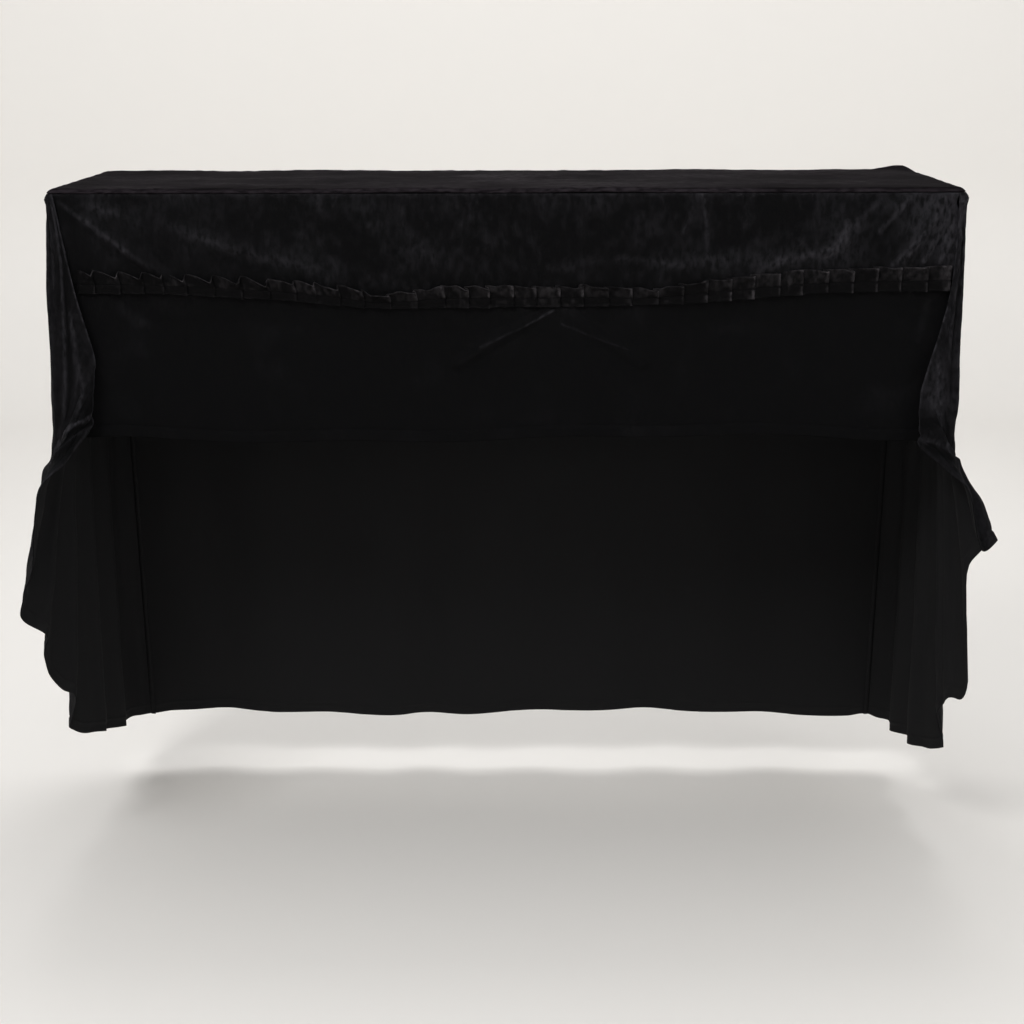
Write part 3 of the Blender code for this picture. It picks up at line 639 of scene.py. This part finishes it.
def build_top(looks):
    x, y = np.meshgrid(rim_places(HALF_WIDTH, 250), rim_places(HALF_DEPTH, 58)[::-1])
    to_rim = np.minimum(HALF_WIDTH - np.abs(x), HALF_DEPTH - np.abs(y))
    drop = ROLL_DROP * np.maximum(1 - to_rim / ROLL, 0.0) ** 2
    px, py = round_corner(x, y)
    points = np.stack((px, py, CLOTH / 2 + lid_rise(px, py) - drop), -1)
    along_seam = np.where(HALF_DEPTH - np.abs(y) < HALF_WIDTH - np.abs(x), x, y)
    allowance = HEM_RISE * ease((0.018 - to_rim) / 0.004) * ease(to_rim / 0.006)
    puckers = TOP_PUCKER * lumps(along_seam, to_rim, (0.013, 0.2), 5) * bump(to_rim - 0.012, 0.01)
    dents = (crushed(x, y, 11, 0.9) + TOP_FULLNESS) * ease(to_rim / 0.03)
    points = push(points, allowance + puckers + dents)
    # Painted sheen: the top is lighter, most of all in the middle, where its pile is seen at a glance
    # under the top light; a painted highlight along its rolled rim.
    nap_and_painted_light = TOP_SHEEN_TONE + 0.4 * bump(x - 0.02, 0.3) + mottled(TOP_MOTTLE, x, y)
    nap_and_painted_light += TOP_RIM_HIGHLIGHT * bump(to_rim - 0.001, 0.005)
    piece = cloth("velvet_top", points, nap_and_painted_light, looks)
    declare(piece, "top_panel")


# ---- front ----

def crease_height(table, x, z):
    """Height of all creases: each a ridge along its line, fading at its ends."""
    return sum(height * bump(from_stretch(x, z, (x0, z0), (x1, z1)), half_width)
               for x0, z0, x1, z1, half_width, height in table)


def band_edges(x):
    """Upper and lower edge of the pleated band along the front."""
    edges = curves_of(BAND_COLUMNS, BAND_LINE, x)
    return edges["top"], edges["bottom"]


def stitch_z(x):
    """Line where the band, the front panel and the skirt are sewn together."""
    top, bottom = band_edges(x)
    return bottom + (top - bottom) * STITCH_SHARE


def end_fade(x, margin=0.045):
    """0 at the front's two ends, where the cloth is held flat, 1 away from them."""
    return ease((ARC_X - np.abs(x)) / margin)


def front_out(x, z, fine=True):
    """How far the front panel stands out from the lid's front face."""
    share = np.minimum(z / stitch_z(x), 1.0)
    belly = FRONT_BELLY * np.sin(math.pi * share)
    creases = crease_height(FRONT_CREASES, x, z)
    if fine:
        creases = creases + crease_height(FRONT_FINE_CREASES, x, z)
    return (belly + creases) * end_fade(x) * ease(share / 0.12)


def nap_and_sheen_patches(table, x, z):
    """Lightness from a table of soft patches: the pile's lie, with its sheen painted in."""
    patches = (strength * np.exp(-(((x - x0) / half_width) ** 2 + ((z - z0) / half_height) ** 2))
               for x0, z0, half_width, half_height, strength in table)
    return np.minimum(sum(patches), BRIGHTEST_PATCH)


def build_front(looks):
    half = ARC_X - SEAM
    place_x = np.linspace(-half, half, 620)
    share = np.concatenate(((0.0, 0.012, 0.025, 0.045, 0.07), np.linspace(0.1, 1.0, 64)))
    x, share = np.meshgrid(place_x, share)
    below, further = ease(share / END_SHARE), ease(share / END_SHARE - 1)
    x = x * (1 + ((END_REACH + END_NARROW) * further - END_NARROW * below) / half)
    back = END_TUCK * below * (1 - end_fade(x))
    z = WALL_TOP + (stitch_z(x) + SEAM - WALL_TOP) * share
    forward = END_FORWARD * (1 - end_fade(x, 0.03)) * ease((-0.02 - z) / 0.1)
    points = np.stack((x, back - HALF_DEPTH - front_out(x, z) - forward, z), -1)
    fade = end_fade(x, 0.02)
    from_top = WALL_TOP - z
    relief = seam_relief(x, from_top, 21) + crushed(x, z, 22, 0.8) * ease(from_top / 0.01)
    points = push(points, relief * fade)
    # Painted sheen on the patches of crushed pile, a painted highlight along the top seam, random
    # specks of the pile, more to the right, and painted highlights on the crests of the broad folds
    # and the sharp creases.
    nap_and_painted_light = nap_and_sheen_patches(FRONT_NAP_AND_SHEEN, x, z) + mottled(FRONT_MOTTLE, x, z)
    nap_and_painted_light += FRONT_SEAM_HIGHLIGHT * bump(from_top, 0.004)
    nap_and_painted_light += mottled(FRONT_SPECKS, x, z) * (0.4 + 0.6 * ease((x + 0.55) / 0.3))
    nap_and_painted_light += BROAD_CREST_HIGHLIGHT * crease_height(FRONT_CREASES, x, z)
    nap_and_painted_light += SHARP_CREST_HIGHLIGHT * crease_height(FRONT_FINE_CREASES, x, z)
    piece = cloth("velvet_front", points, nap_and_painted_light, looks)
    declare(piece, "front_panel")


def inside_tuck(x, z):
    """1 between the two legs of the tuck under the band, 0 outside them."""
    inside = np.ones_like(x)
    for (x0, z0), (x1, z1), side in TUCK_LEGS:
        run = np.array((x1 - x0, z1 - z0)) / math.hypot(x1 - x0, z1 - z0)
        inside *= ease(side * ((x - x0) * run[1] - (z - z0) * run[0]) / 0.005 + 0.5)
    return inside


def skirt_out(x, z):
    """How far the skirt stands out: it starts at the stitching and falls back a little."""
    down = (stitch_z(x) - z) / (stitch_z(x) - SKIRT_HEM)
    start = front_out(x, stitch_z(x), fine=False)
    sway = 0.004 * np.sin(6.3 * x + 1.1) + 0.003 * np.sin(13.7 * x)
    creases = crease_height(SKIRT_CREASES, x, z)
    creases += crease_height(SKIRT_FINE_CREASES, x, z)
    creases -= TUCK_DEPTH * inside_tuck(x, z)
    folds = (sway + creases - 0.006) * end_fade(x) * ease(down / 0.25)
    return start * (1 - ease(down / 0.3)) + folds


def build_skirt(looks):
    half = ARC_X - SEAM + END_REACH
    across = np.concatenate((np.linspace(-half, -0.102, 150), np.linspace(-0.1, 0.24, 170),
                             np.linspace(0.242, half, 120)))
    x, share = np.meshgrid(across, np.linspace(0, 1, 150))
    hem = SKIRT_HEM + 0.006 * np.sin(5.1 * x) + 0.003 * np.sin(17.0 * x)
    top = stitch_z(x) - SEAM
    z = top + (hem - top) * share
    points = np.stack((x, END_TUCK * (1 - end_fade(x)) - HALF_DEPTH - skirt_out(x, z), z), -1)
    points = with_hem_rows(points, 104)
    down = steps(points, 0)
    from_hem = down[-1] - down
    relief = hem_relief(points[..., 0], from_hem, 31) + crushed(points[..., 0], down, 32, 0.6)
    points = push(points, relief * end_fade(points[..., 0], 0.02) * ease(down / 0.02))
    x, z = points[..., 0], points[..., 2]
    # Painted shade: the skirt is darker as it hangs in shade under the band; painted highlights on the
    # crests of its sharp creases and on the legs of the tuck.
    nap_and_painted_light = SKIRT_SHADE_TONE + mottled(SKIRT_MOTTLE, x, down)
    nap_and_painted_light += SHARP_CREST_HIGHLIGHT * crease_height(SKIRT_FINE_CREASES, x, z)
    piece = cloth("velvet_skirt", points, nap_and_painted_light, looks)
    declare(piece, "front_skirt")


def pleat_grid():
    """The band as a grid, frill edge to frill edge, with the same turns for every pleat."""
    turn = np.concatenate((np.linspace(0, 0.58, 8)[:-1], np.linspace(0.58, 0.76, 8)[:-1],
                           np.linspace(0.76, 1.0, 9)[:-1]))
    share = np.concatenate((np.linspace(1.0, 0.5, 14), (0.46, 0.44, 0.42, 0.4, 0.38),
                            np.linspace(0.34, 0.06, 7), (0.04, 0.02, 0.0)))
    profile = curves_of(PLEAT_COLUMNS, PLEAT_PROFILE, turn)
    pleats = len(PLEAT_WIDTHS)
    lines = [np.tile(values, pleats) for values in (turn, *profile.values())]
    lines.append(np.repeat(np.arange(pleats), len(turn)))
    shape = (len(share), len(lines[0]))
    return [np.broadcast_to(values, shape) for values in (*lines, share[:, None])]


def build_band(looks):
    """Knife pleats stitched down along one line: a frill above it and one below."""
    turn, along, out, wide, number, share = pleat_grid()
    uneven = np.random.RandomState(7).uniform(-1, 1, (7, len(PLEAT_WIDTHS)))
    deeper, looser, lower_by, ragged, upper_by, under_by = uneven[1:, number]
    first, last = BAND_LINE[0][0], BAND_LINE[-1][0]
    edges = np.concatenate(((0,), np.cumsum(PLEAT_WIDTHS)))
    edges = first + (last - first) * edges / edges[-1]
    pitch, start = np.diff(edges)[number], edges[:-1][number]
    frill = curves_of(FRILL_COLUMNS, FRILL_LINE, start + along * pitch)
    above = np.clip((share - STITCH_SHARE) / (1 - STITCH_SHARE), 0, 1)
    below = np.clip((STITCH_SHARE - share) / STITCH_SHARE, 0, 1)
    x = start + (along + (wide - along) * frill["open"] * above ** 2) * pitch
    x += BAND_END_REACH * ease((x - BAND_END) / 0.015)

    depth = frill["depth"] * (1 + UNEVEN_DEPTH * deeper) - STITCHED_DEPTH
    relief = out * (STITCHED_DEPTH + depth * (above + (0.15 + 0.4 * frill["lower"]) * below))
    wave = lumps(x, share * 0.04, (0.016, 0.014), 41) * frill["crush"]
    lean = frill["lean"] * above ** 1.5 * (1 + UNEVEN_LEAN * looser)
    lean = lean + WAVE_OUT * wave * (above + 0.6 * below)
    sag = frill["sag"] * (1 + (1.2 - 0.9 * frill["open"]) * lower_by)
    sag *= out ** 1.3 * above ** 2
    sag += WAVE_DOWN * wave * above
    top, bottom = band_edges(x)
    z = bottom + (top - bottom) * share + 0.4 * frill["sag"] * above ** 2 - sag
    z += LOWER_RAGGED * below * ragged * out
    drawn = STITCHES_DRAWN * bump(share - STITCH_SHARE, 0.03)
    rolled = FRILL_ROLL * (bump(share - 0.03, 0.03) + bump(share - 0.98, 0.02))
    base = front_out(x, stitch_z(x), fine=False) + BAND_OUT
    y = -HALF_DEPTH - base - relief - np.maximum(lean, -0.3 * relief) - drawn - rolled

    #     Painted highlights on the folded edges, on the upper frill and along the rims and the lower
    #     hem, painted shade on the lower frill and in the stitching, a lighter middle to the lower
    #     frill, a painted highlight where the band's end is drawn out, and patches on the faces.
    upper = frill["upper"] * (1 + UNEVEN_HIGHLIGHT * upper_by) * ease((share - STITCH_SHARE) / 0.12)
    lower = frill["lower"] * (1 + UNEVEN_HIGHLIGHT * under_by) * ease((0.4 - share) / 0.1)
    rim = frill["rim"] * (0.25 + 0.75 * out ** 2) * (1 + 0.4 * looser)
    nap_and_painted_light = (upper + lower) * bump(turn - FOLDED_EDGE, 0.045) + rim * bump(share - 1.0, 0.05)
    nap_and_painted_light += 0.16 * frill["upper"] * above + (0.1 + 0.4 * frill["open"]) * bump(share, 0.02)
    nap_and_painted_light -= 0.16 * (share < STITCH_SHARE) + 0.2 * bump(share - STITCH_SHARE, 0.03)
    nap_and_painted_light += 0.1 * (share < STITCH_SHARE) * bump(x - 0.05, 0.25)
    nap_and_painted_light += BAND_END_HIGHLIGHT * ease((x - BAND_END) / 0.012)
    nap_and_painted_light += mottled(BAND_MOTTLE, x, z)
    piece = cloth("pleated_frill", np.stack((x, y, z), -1), nap_and_painted_light, looks, TRIM_CLOTH)
    declare(piece, "pleated_band")


# ---- sides ----

def seam_place(distance):
    """Outward distance and y on the top seam, from the back seam round both corners."""
    back, front = np.clip((distance, distance - ARC_LENGTH - SIDE_RUN), 0, ARC_LENGTH) / CORNER
    run = np.clip(distance - ARC_LENGTH, 0, SIDE_RUN)
    return (ARC_X + CORNER * math.sin(back) * math.cos(front),
            ARC_Y - run + CORNER * (math.cos(back) - math.sin(front)))


def side_stations(fold, side):
    """The five points that one fold of a side panel runs through, seam to hem."""
    out, y = seam_place(fold["top"] * (SIDE_RUN + 2 * ARC_LENGTH))
    out += SEAM if fold["top"] in (0.0, 1.0) else 0.0
    top_z = WALL_TOP + float(lid_rise(side * out, y)) * CORNER_FOLLOW
    waist = np.array((side * fold["waist_out"], fold["waist_y"], fold["waist_z"]))
    hem = np.array((side * fold["hem_out"], fold["hem_y"], fold["hem_z"]))
    drop = waist + (hem - waist) * DROP_SHARE + np.array((side * fold["swell"], 0, 0))
    return ((side * out, y, top_z), (side * fold["chest_out"], fold["chest_y"], CHEST_Z),
            waist, drop, hem)


def side_surface(side, folds, puffs):
    """A side panel's large forms as a grid, and the fold line that each grid column lies on."""
    lines = np.array([side_stations(dict(zip(SIDE_COLUMNS, fold)), side) for fold in folds])
    last = len(lines) - 1
    columns = np.concatenate((np.linspace(0, last - 5, 110)[:-1], np.linspace(last - 5, last, 80)))
    rows = np.interp(np.linspace(0, len(SIDE_ROWS) - 1, 260), range(len(SIDE_ROWS)), SIDE_ROWS)
    across = curve_through(STATIONS, lines.transpose(1, 0, 2), rows)
    points = curve_through(range(last + 1), across.transpose(1, 0, 2), columns).transpose(1, 0, 2)
    y, z = points[..., 1], points[..., 2]
    for out, puff_z, spread_z, puff_y, spread_y in puffs:
        points[..., 0] += (side * out * bump(z - puff_z, spread_z) * bump(y - puff_y, spread_y)
                           * ease((WALL_TOP - z) / PUFF_START) * ease(last - columns))
    further = np.maximum(columns - ARM_ROLL_FULL, 0)
    rolls = sum(height * bump(rows[:, None] - share - drift * further, half_width)
                for share, drift, half_width, height in ARM_ROLLS)
    on_arm = ease((columns - ARM_ROLL_START) / (ARM_ROLL_FULL - ARM_ROLL_START))
    shift = np.array((side * ARM_ROLL_OUT, -ARM_ROLL_FORWARD, ARM_ROLL_UP))
    points += (rolls * on_arm)[..., None] * shift
    return with_hem_rows(points, 200), columns


def build_side(name, node, side, folds, ridge_table, traces, puffs, looks, seed):
    """A side panel: hangs down the side, turns the front corner and falls over the arm."""
    points, columns = side_surface(side, folds, puffs)
    turned_in = [points[:, :1] - np.array((side * inward, back, 0)) for inward, back in ALLOWANCE]
    points = np.concatenate(turned_in + [points], axis=1)
    columns = np.concatenate((np.zeros(len(ALLOWANCE)), columns))
    if side > 0:
        points, columns = points[:, ::-1], columns[::-1]
    down, along = steps(points, 0), steps(points, 1)
    across = along if side < 0 else along[:, -1:] - along
    across = across - across[:, (len(ALLOWANCE) if side < 0 else -1 - len(ALLOWANCE)), None]
    from_hem, from_edge = down[-1] - down, across[:, (-1 if side < 0 else 0), None] - across
    held = ease(down / 0.02) * ease(across / 0.02)
    share = down / down[-1]
    run_down = ridges(ridge_table, columns, share)
    creases, crest_highlight_and_shade = traced(traces, np.broadcast_to(columns, share.shape), share)
    creases *= 0.35 + 0.65 * ease((len(folds) - 1 - columns) / 0.5)
    creases += ARM_HEM_ROLL * bump(from_hem - 0.009, 0.007) * ease(columns - ARM_HEM)
    relief = (crushed(across, down, seed, 1.2) + run_down + creases) * held
    relief += hem_relief(across, from_hem, seed + 4) * ease(across / 0.006)
    relief += seam_relief(across, down, seed + 5) * ease(across / 0.02)
    relief += EDGE_RISE * ease((HEM - from_edge) / 0.004)
    relief += SEAM_DRAWN * bump(from_edge - HEM, 0.0025)
    points = push(points, relief)
    # Painted highlights on the crests of the folds, painted highlights and shade along the traced
    # creases, and a painted highlight along the slit's free edge; the mottling is the pile's own.
    nap_and_painted_light = SIDE_TONE + mottled(SIDE_MOTTLE, across, down, seed)
    nap_and_painted_light += CREST_HIGHLIGHT * run_down + crest_highlight_and_shade + SLIT_HIGHLIGHT * bump(from_edge, 0.0025)
    piece = cloth(name, points, nap_and_painted_light, looks)
    declare(piece, node)


# ---- back ----

def build_back(looks):
    half = ARC_X - BACK_SEAM
    x, share = np.meshgrid(np.linspace(half, -half, 220), np.linspace(0, 1, 200))
    top = WALL_TOP + lid_rise(x, HALF_DEPTH)
    hem = BACK_HEM + 0.006 * np.sin(7.0 * x) * end_fade(x)
    folds = sum(depth * bump(x - x0, half_width) for x0, half_width, depth in BACK_FOLDS)
    z = top + (hem - top) * share
    points = np.stack((x, HALF_DEPTH + folds * share * end_fade(x), z), -1)
    points = with_hem_rows(points, 130)
    down = steps(points, 0)
    x = points[..., 0]
    relief = seam_relief(x, down, 71) + crushed(x, down, 72, 1.2) * ease(down / 0.02)
    relief += hem_relief(x, down[-1] - down, 76)
    points = push(points, relief * end_fade(x, 0.02))
    nap_and_painted_light = BACK_TONE + mottled(BACK_MOTTLE, x, down)
    piece = cloth("velvet_back", points, nap_and_painted_light, looks)
    declare(piece, "back_panel")


# ---- materials ----

def new_material(name):
    """A material, its node tree, its one shader and the object's own coordinates."""
    material = bpy.data.materials.new(name)
    material.use_nodes = True
    tree = material.node_tree
    return material, tree, tree.nodes["Principled BSDF"], tree.nodes.new("ShaderNodeTexCoord")


def add_node(tree, kind, values):
    """A node of this kind with some of its inputs set."""
    node = tree.nodes.new(kind)
    for name, value in values.items():
        node.inputs[name].default_value = value
    return node


def link(source, output, target, socket):
    source.id_data.links.new(source.outputs[output], target.inputs[socket])


def noise(tree, source, scale, detail, stretch=(1, 1, 1)):
    """A noise pattern on the object's own coordinates, stretched along its axes."""
    mapping = add_node(tree, "ShaderNodeMapping", {"Scale": stretch})
    link(source, "Object", mapping, "Vector")
    pattern = add_node(tree, "ShaderNodeTexNoise", {"Scale": scale, "Detail": detail})
    link(mapping, "Vector", pattern, "Vector")
    return pattern


def spread_out(tree, source, output, values, onto):
    """Maps one range of values onto another, clamped."""
    node = add_node(tree, "ShaderNodeMapRange", {
        "From Min": values[0], "From Max": values[1], "To Min": onto[0], "To Max": onto[1]})
    link(source, output, node, "Value")
    return node


def mixed(tree, source, output, dark, light):
    """Blends two colours by a value."""
    node = tree.nodes.new("ShaderNodeMix")
    node.data_type = "RGBA"
    node.inputs["A"].default_value = (*dark, 1.0)
    node.inputs["B"].default_value = (*light, 1.0)
    link(source, output, node, "Factor")
    return node


def raised(tree, source, strength, distance):
    """Bends the light as if the surface rose and fell with a pattern."""
    node = add_node(tree, "ShaderNodeBump", {"Strength": strength, "Distance": distance})
    link(source, "Fac", node, "Height")
    return node


# Velvet: how much the clouds add to the lie of the pile and the light and shade painted on it, the
# ranges of that sum and of streaks that run from dark to light, and the roughness of pile that lies
# flat and of pile brushed up.
CLOUD_SHARE = 0.55
PILE_AND_PAINTED_LIGHT_RANGE = (0.22, 1.2)
STREAK_RANGE, STREAK_DARK = (0.36, 0.62), 0.15
FLAT_ROUGHNESS, BRUSHED_ROUGHNESS, SHEEN_ROUGHNESS = 0.88, 0.62, 0.38


def velvet(name, dark, light, gloss, sheen, tint, stretch):
    """Black pile: lighter where its mottling and the painted highlights and sheen run high, darker
    under painted shade, in short streaks, with a soft sheen.
    """
    material, tree, shader, coords = new_material(name)
    shader.inputs["Sheen Weight"].default_value = sheen
    shader.inputs["Sheen Roughness"].default_value = SHEEN_ROUGHNESS
    shader.inputs["Sheen Tint"].default_value = (*tint, 1.0)
    shader.inputs["Specular IOR Level"].default_value = gloss

    streaks = noise(tree, coords, 150.0, 4.0, stretch)
    clouds = noise(tree, coords, 14.0, 3.0)
    pile = noise(tree, coords, 1400.0, 1.0)
    nap_and_painted_light = add_node(tree, "ShaderNodeAttribute", {})
    nap_and_painted_light.attribute_name = "nap_and_painted_light"

    pile_and_painted_light = add_node(tree, "ShaderNodeMath", {1: CLOUD_SHARE})
    pile_and_painted_light.operation = "MULTIPLY_ADD"
    link(clouds, "Fac", pile_and_painted_light, 0)
    link(nap_and_painted_light, "Fac", pile_and_painted_light, 2)
    pile_and_painted_light_share = spread_out(tree, pile_and_painted_light, "Value", PILE_AND_PAINTED_LIGHT_RANGE, (0, 1))
    streaked = spread_out(tree, streaks, "Fac", STREAK_RANGE, (STREAK_DARK, 1))
    amount = add_node(tree, "ShaderNodeMath", {})
    amount.operation = "MULTIPLY"
    link(pile_and_painted_light_share, "Result", amount, 0)
    link(streaked, "Result", amount, 1)

    colour = mixed(tree, amount, "Value", dark, light)
    link(colour, "Result", shader, "Base Color")
    rough = spread_out(tree, amount, "Value", (0, 1), (FLAT_ROUGHNESS, BRUSHED_ROUGHNESS))
    link(rough, "Result", shader, "Roughness")

    soft = raised(tree, streaks, 0.5, 0.0016)
    hair = raised(tree, pile, 0.35, 0.0003)
    link(soft, "Normal", hair, "Normal")
    link(hair, "Normal", shader, "Normal")
    return material


def backing(name, colour):
    """The wrong side of velvet: a plain dark knit."""
    material, tree, shader, coords = new_material(name)
    shader.inputs["Specular IOR Level"].default_value = 0.2
    knit = noise(tree, coords, 600.0, 2.0, (1, 1, 0.4))
    shade = spread_out(tree, knit, "Fac", (0.3, 0.7), (0.85, 0.95))
    link(shade, "Result", shader, "Roughness")
    tone = mixed(tree, knit, "Fac", [0.8 * c for c in colour], [1.3 * c for c in colour])
    link(tone, "Result", shader, "Base Color")
    return material


def plain(name, colour, roughness):
    """A pale studio surface with a very faint unevenness."""
    material, tree, shader, coords = new_material(name)
    shader.inputs["Base Color"].default_value = (*colour, 1.0)
    grain = noise(tree, coords, 3.0, 2.0)
    rough = spread_out(tree, grain, "Fac", (0, 1), (roughness - 0.05, roughness + 0.05))
    link(rough, "Result", shader, "Roughness")
    return material


# ---- room ----

def build_studio():
    """A pale round floor that turns up all round into a plain backdrop."""
    radius, turn, high, sides = 4.6, 0.9, 3.6, 96
    angles = np.linspace(0, math.pi / 2, 16)
    line = [(radius - turn + turn * math.sin(a), turn - turn * math.cos(a)) for a in angles]
    line += [(radius, high)]
    around = np.arange(sides) * 2 * math.pi / sides
    points = [(r * math.cos(a), r * math.sin(a), FLOOR_Z + z) for r, z in line for a in around]
    faces = [tuple(range(sides))]
    faces += [(ring * sides + i, (ring + 1) * sides + i,
               (ring + 1) * sides + (i + 1) % sides, ring * sides + (i + 1) % sides)
              for ring in range(len(line) - 1) for i in range(sides)]
    mesh = bpy.data.meshes.new("backdrop")
    mesh.from_pydata(points, [], faces)
    mesh.shade_smooth()
    mesh.materials.append(plain("pale_studio", (0.8, 0.78, 0.75), 0.6))
    add_object("backdrop", mesh)


def add_light(name, place, aim, size, power):
    """A square soft light that points from its place to its aim."""
    data = bpy.data.lights.new(name, "AREA")
    data.size = size
    data.energy = power
    lamp = add_object(name, data)
    lamp.location = place
    lamp.rotation_euler = (Vector(aim) - Vector(place)).to_track_quat("-Z", "Y").to_euler()


def build_lights():
    add_light("key", (-1.5, -2.3, 2.4), (0.1, 0, -0.3), 1.1, 58)
    add_light("top", (0.1, 0.3, 2.6), (0, 0.2, -0.2), 2.0, 34)
    add_light("fill", (2.6, -2.2, 0.9), (0, 0, -0.3), 1.6, 17)
    add_light("floor", (0, -2.4, 2.8), (0, -1.9, -1.2), 2.0, 34)
    add_light("wall", (0, 1.2, 2.6), (0, 4.4, -0.6), 2.6, 78)
    world = bpy.data.worlds.new("studio")
    world.use_nodes = True
    background = world.node_tree.nodes["Background"]
    background.inputs["Color"].default_value = (0.93, 0.95, 1.0, 1.0)
    background.inputs["Strength"].default_value = 0.27
    bpy.context.scene.world = world


def build_camera():
    data = bpy.data.cameras.new("camera")
    data.lens = CAMERA_LENS
    data.sensor_width = 36
    camera = add_object("camera", data)
    camera.location = CAMERA_PLACE
    camera.rotation_euler = [math.radians(angle) for angle in CAMERA_ANGLES]
    bpy.context.scene.camera = camera


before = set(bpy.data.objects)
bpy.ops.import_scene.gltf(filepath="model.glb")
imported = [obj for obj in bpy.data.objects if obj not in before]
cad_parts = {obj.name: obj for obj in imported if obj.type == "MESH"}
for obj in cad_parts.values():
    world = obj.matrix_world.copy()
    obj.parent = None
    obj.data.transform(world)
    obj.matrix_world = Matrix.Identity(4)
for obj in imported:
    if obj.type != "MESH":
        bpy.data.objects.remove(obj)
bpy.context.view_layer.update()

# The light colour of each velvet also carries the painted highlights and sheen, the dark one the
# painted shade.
black = velvet("black_velvet", (0.0025, 0.0025, 0.0028), (0.0225, 0.0215, 0.0252), 0.055, 0.01,
               (0.6, 0.6, 0.68), (1, 1, 0.5))
top_velvet = velvet("black_velvet_top", (0.0027, 0.0021, 0.0026), (0.0138, 0.0112, 0.0134), 0.015,
                    0.006, (0.66, 0.6, 0.66), (0.5, 1, 1))
trim = velvet("trim_velvet", (0.0022, 0.0021, 0.0023), (0.038, 0.035, 0.038), 0.055, 0.01,
              (0.62, 0.6, 0.66), (1, 1, 0.6))
wrong_side = backing("velvet_backing", (0.005, 0.005, 0.0055))
panel_looks = (black, wrong_side)
build_top((top_velvet, wrong_side))
build_front(panel_looks)
build_skirt(panel_looks)
build_band((trim, trim))
build_side("velvet_side_left", "side_panel_left", -1, LEFT_FOLDS, LEFT_RIDGES, LEFT_TRACES,
           LEFT_PUFFS, panel_looks, 51)
build_side("velvet_side_right", "side_panel_right", 1, RIGHT_FOLDS, RIGHT_RIDGES, RIGHT_TRACES,
           RIGHT_PUFFS, panel_looks, 61)
build_back(panel_looks)
build_studio()
build_lights()
build_camera()
bpy.context.scene.view_settings.view_transform = "Standard"
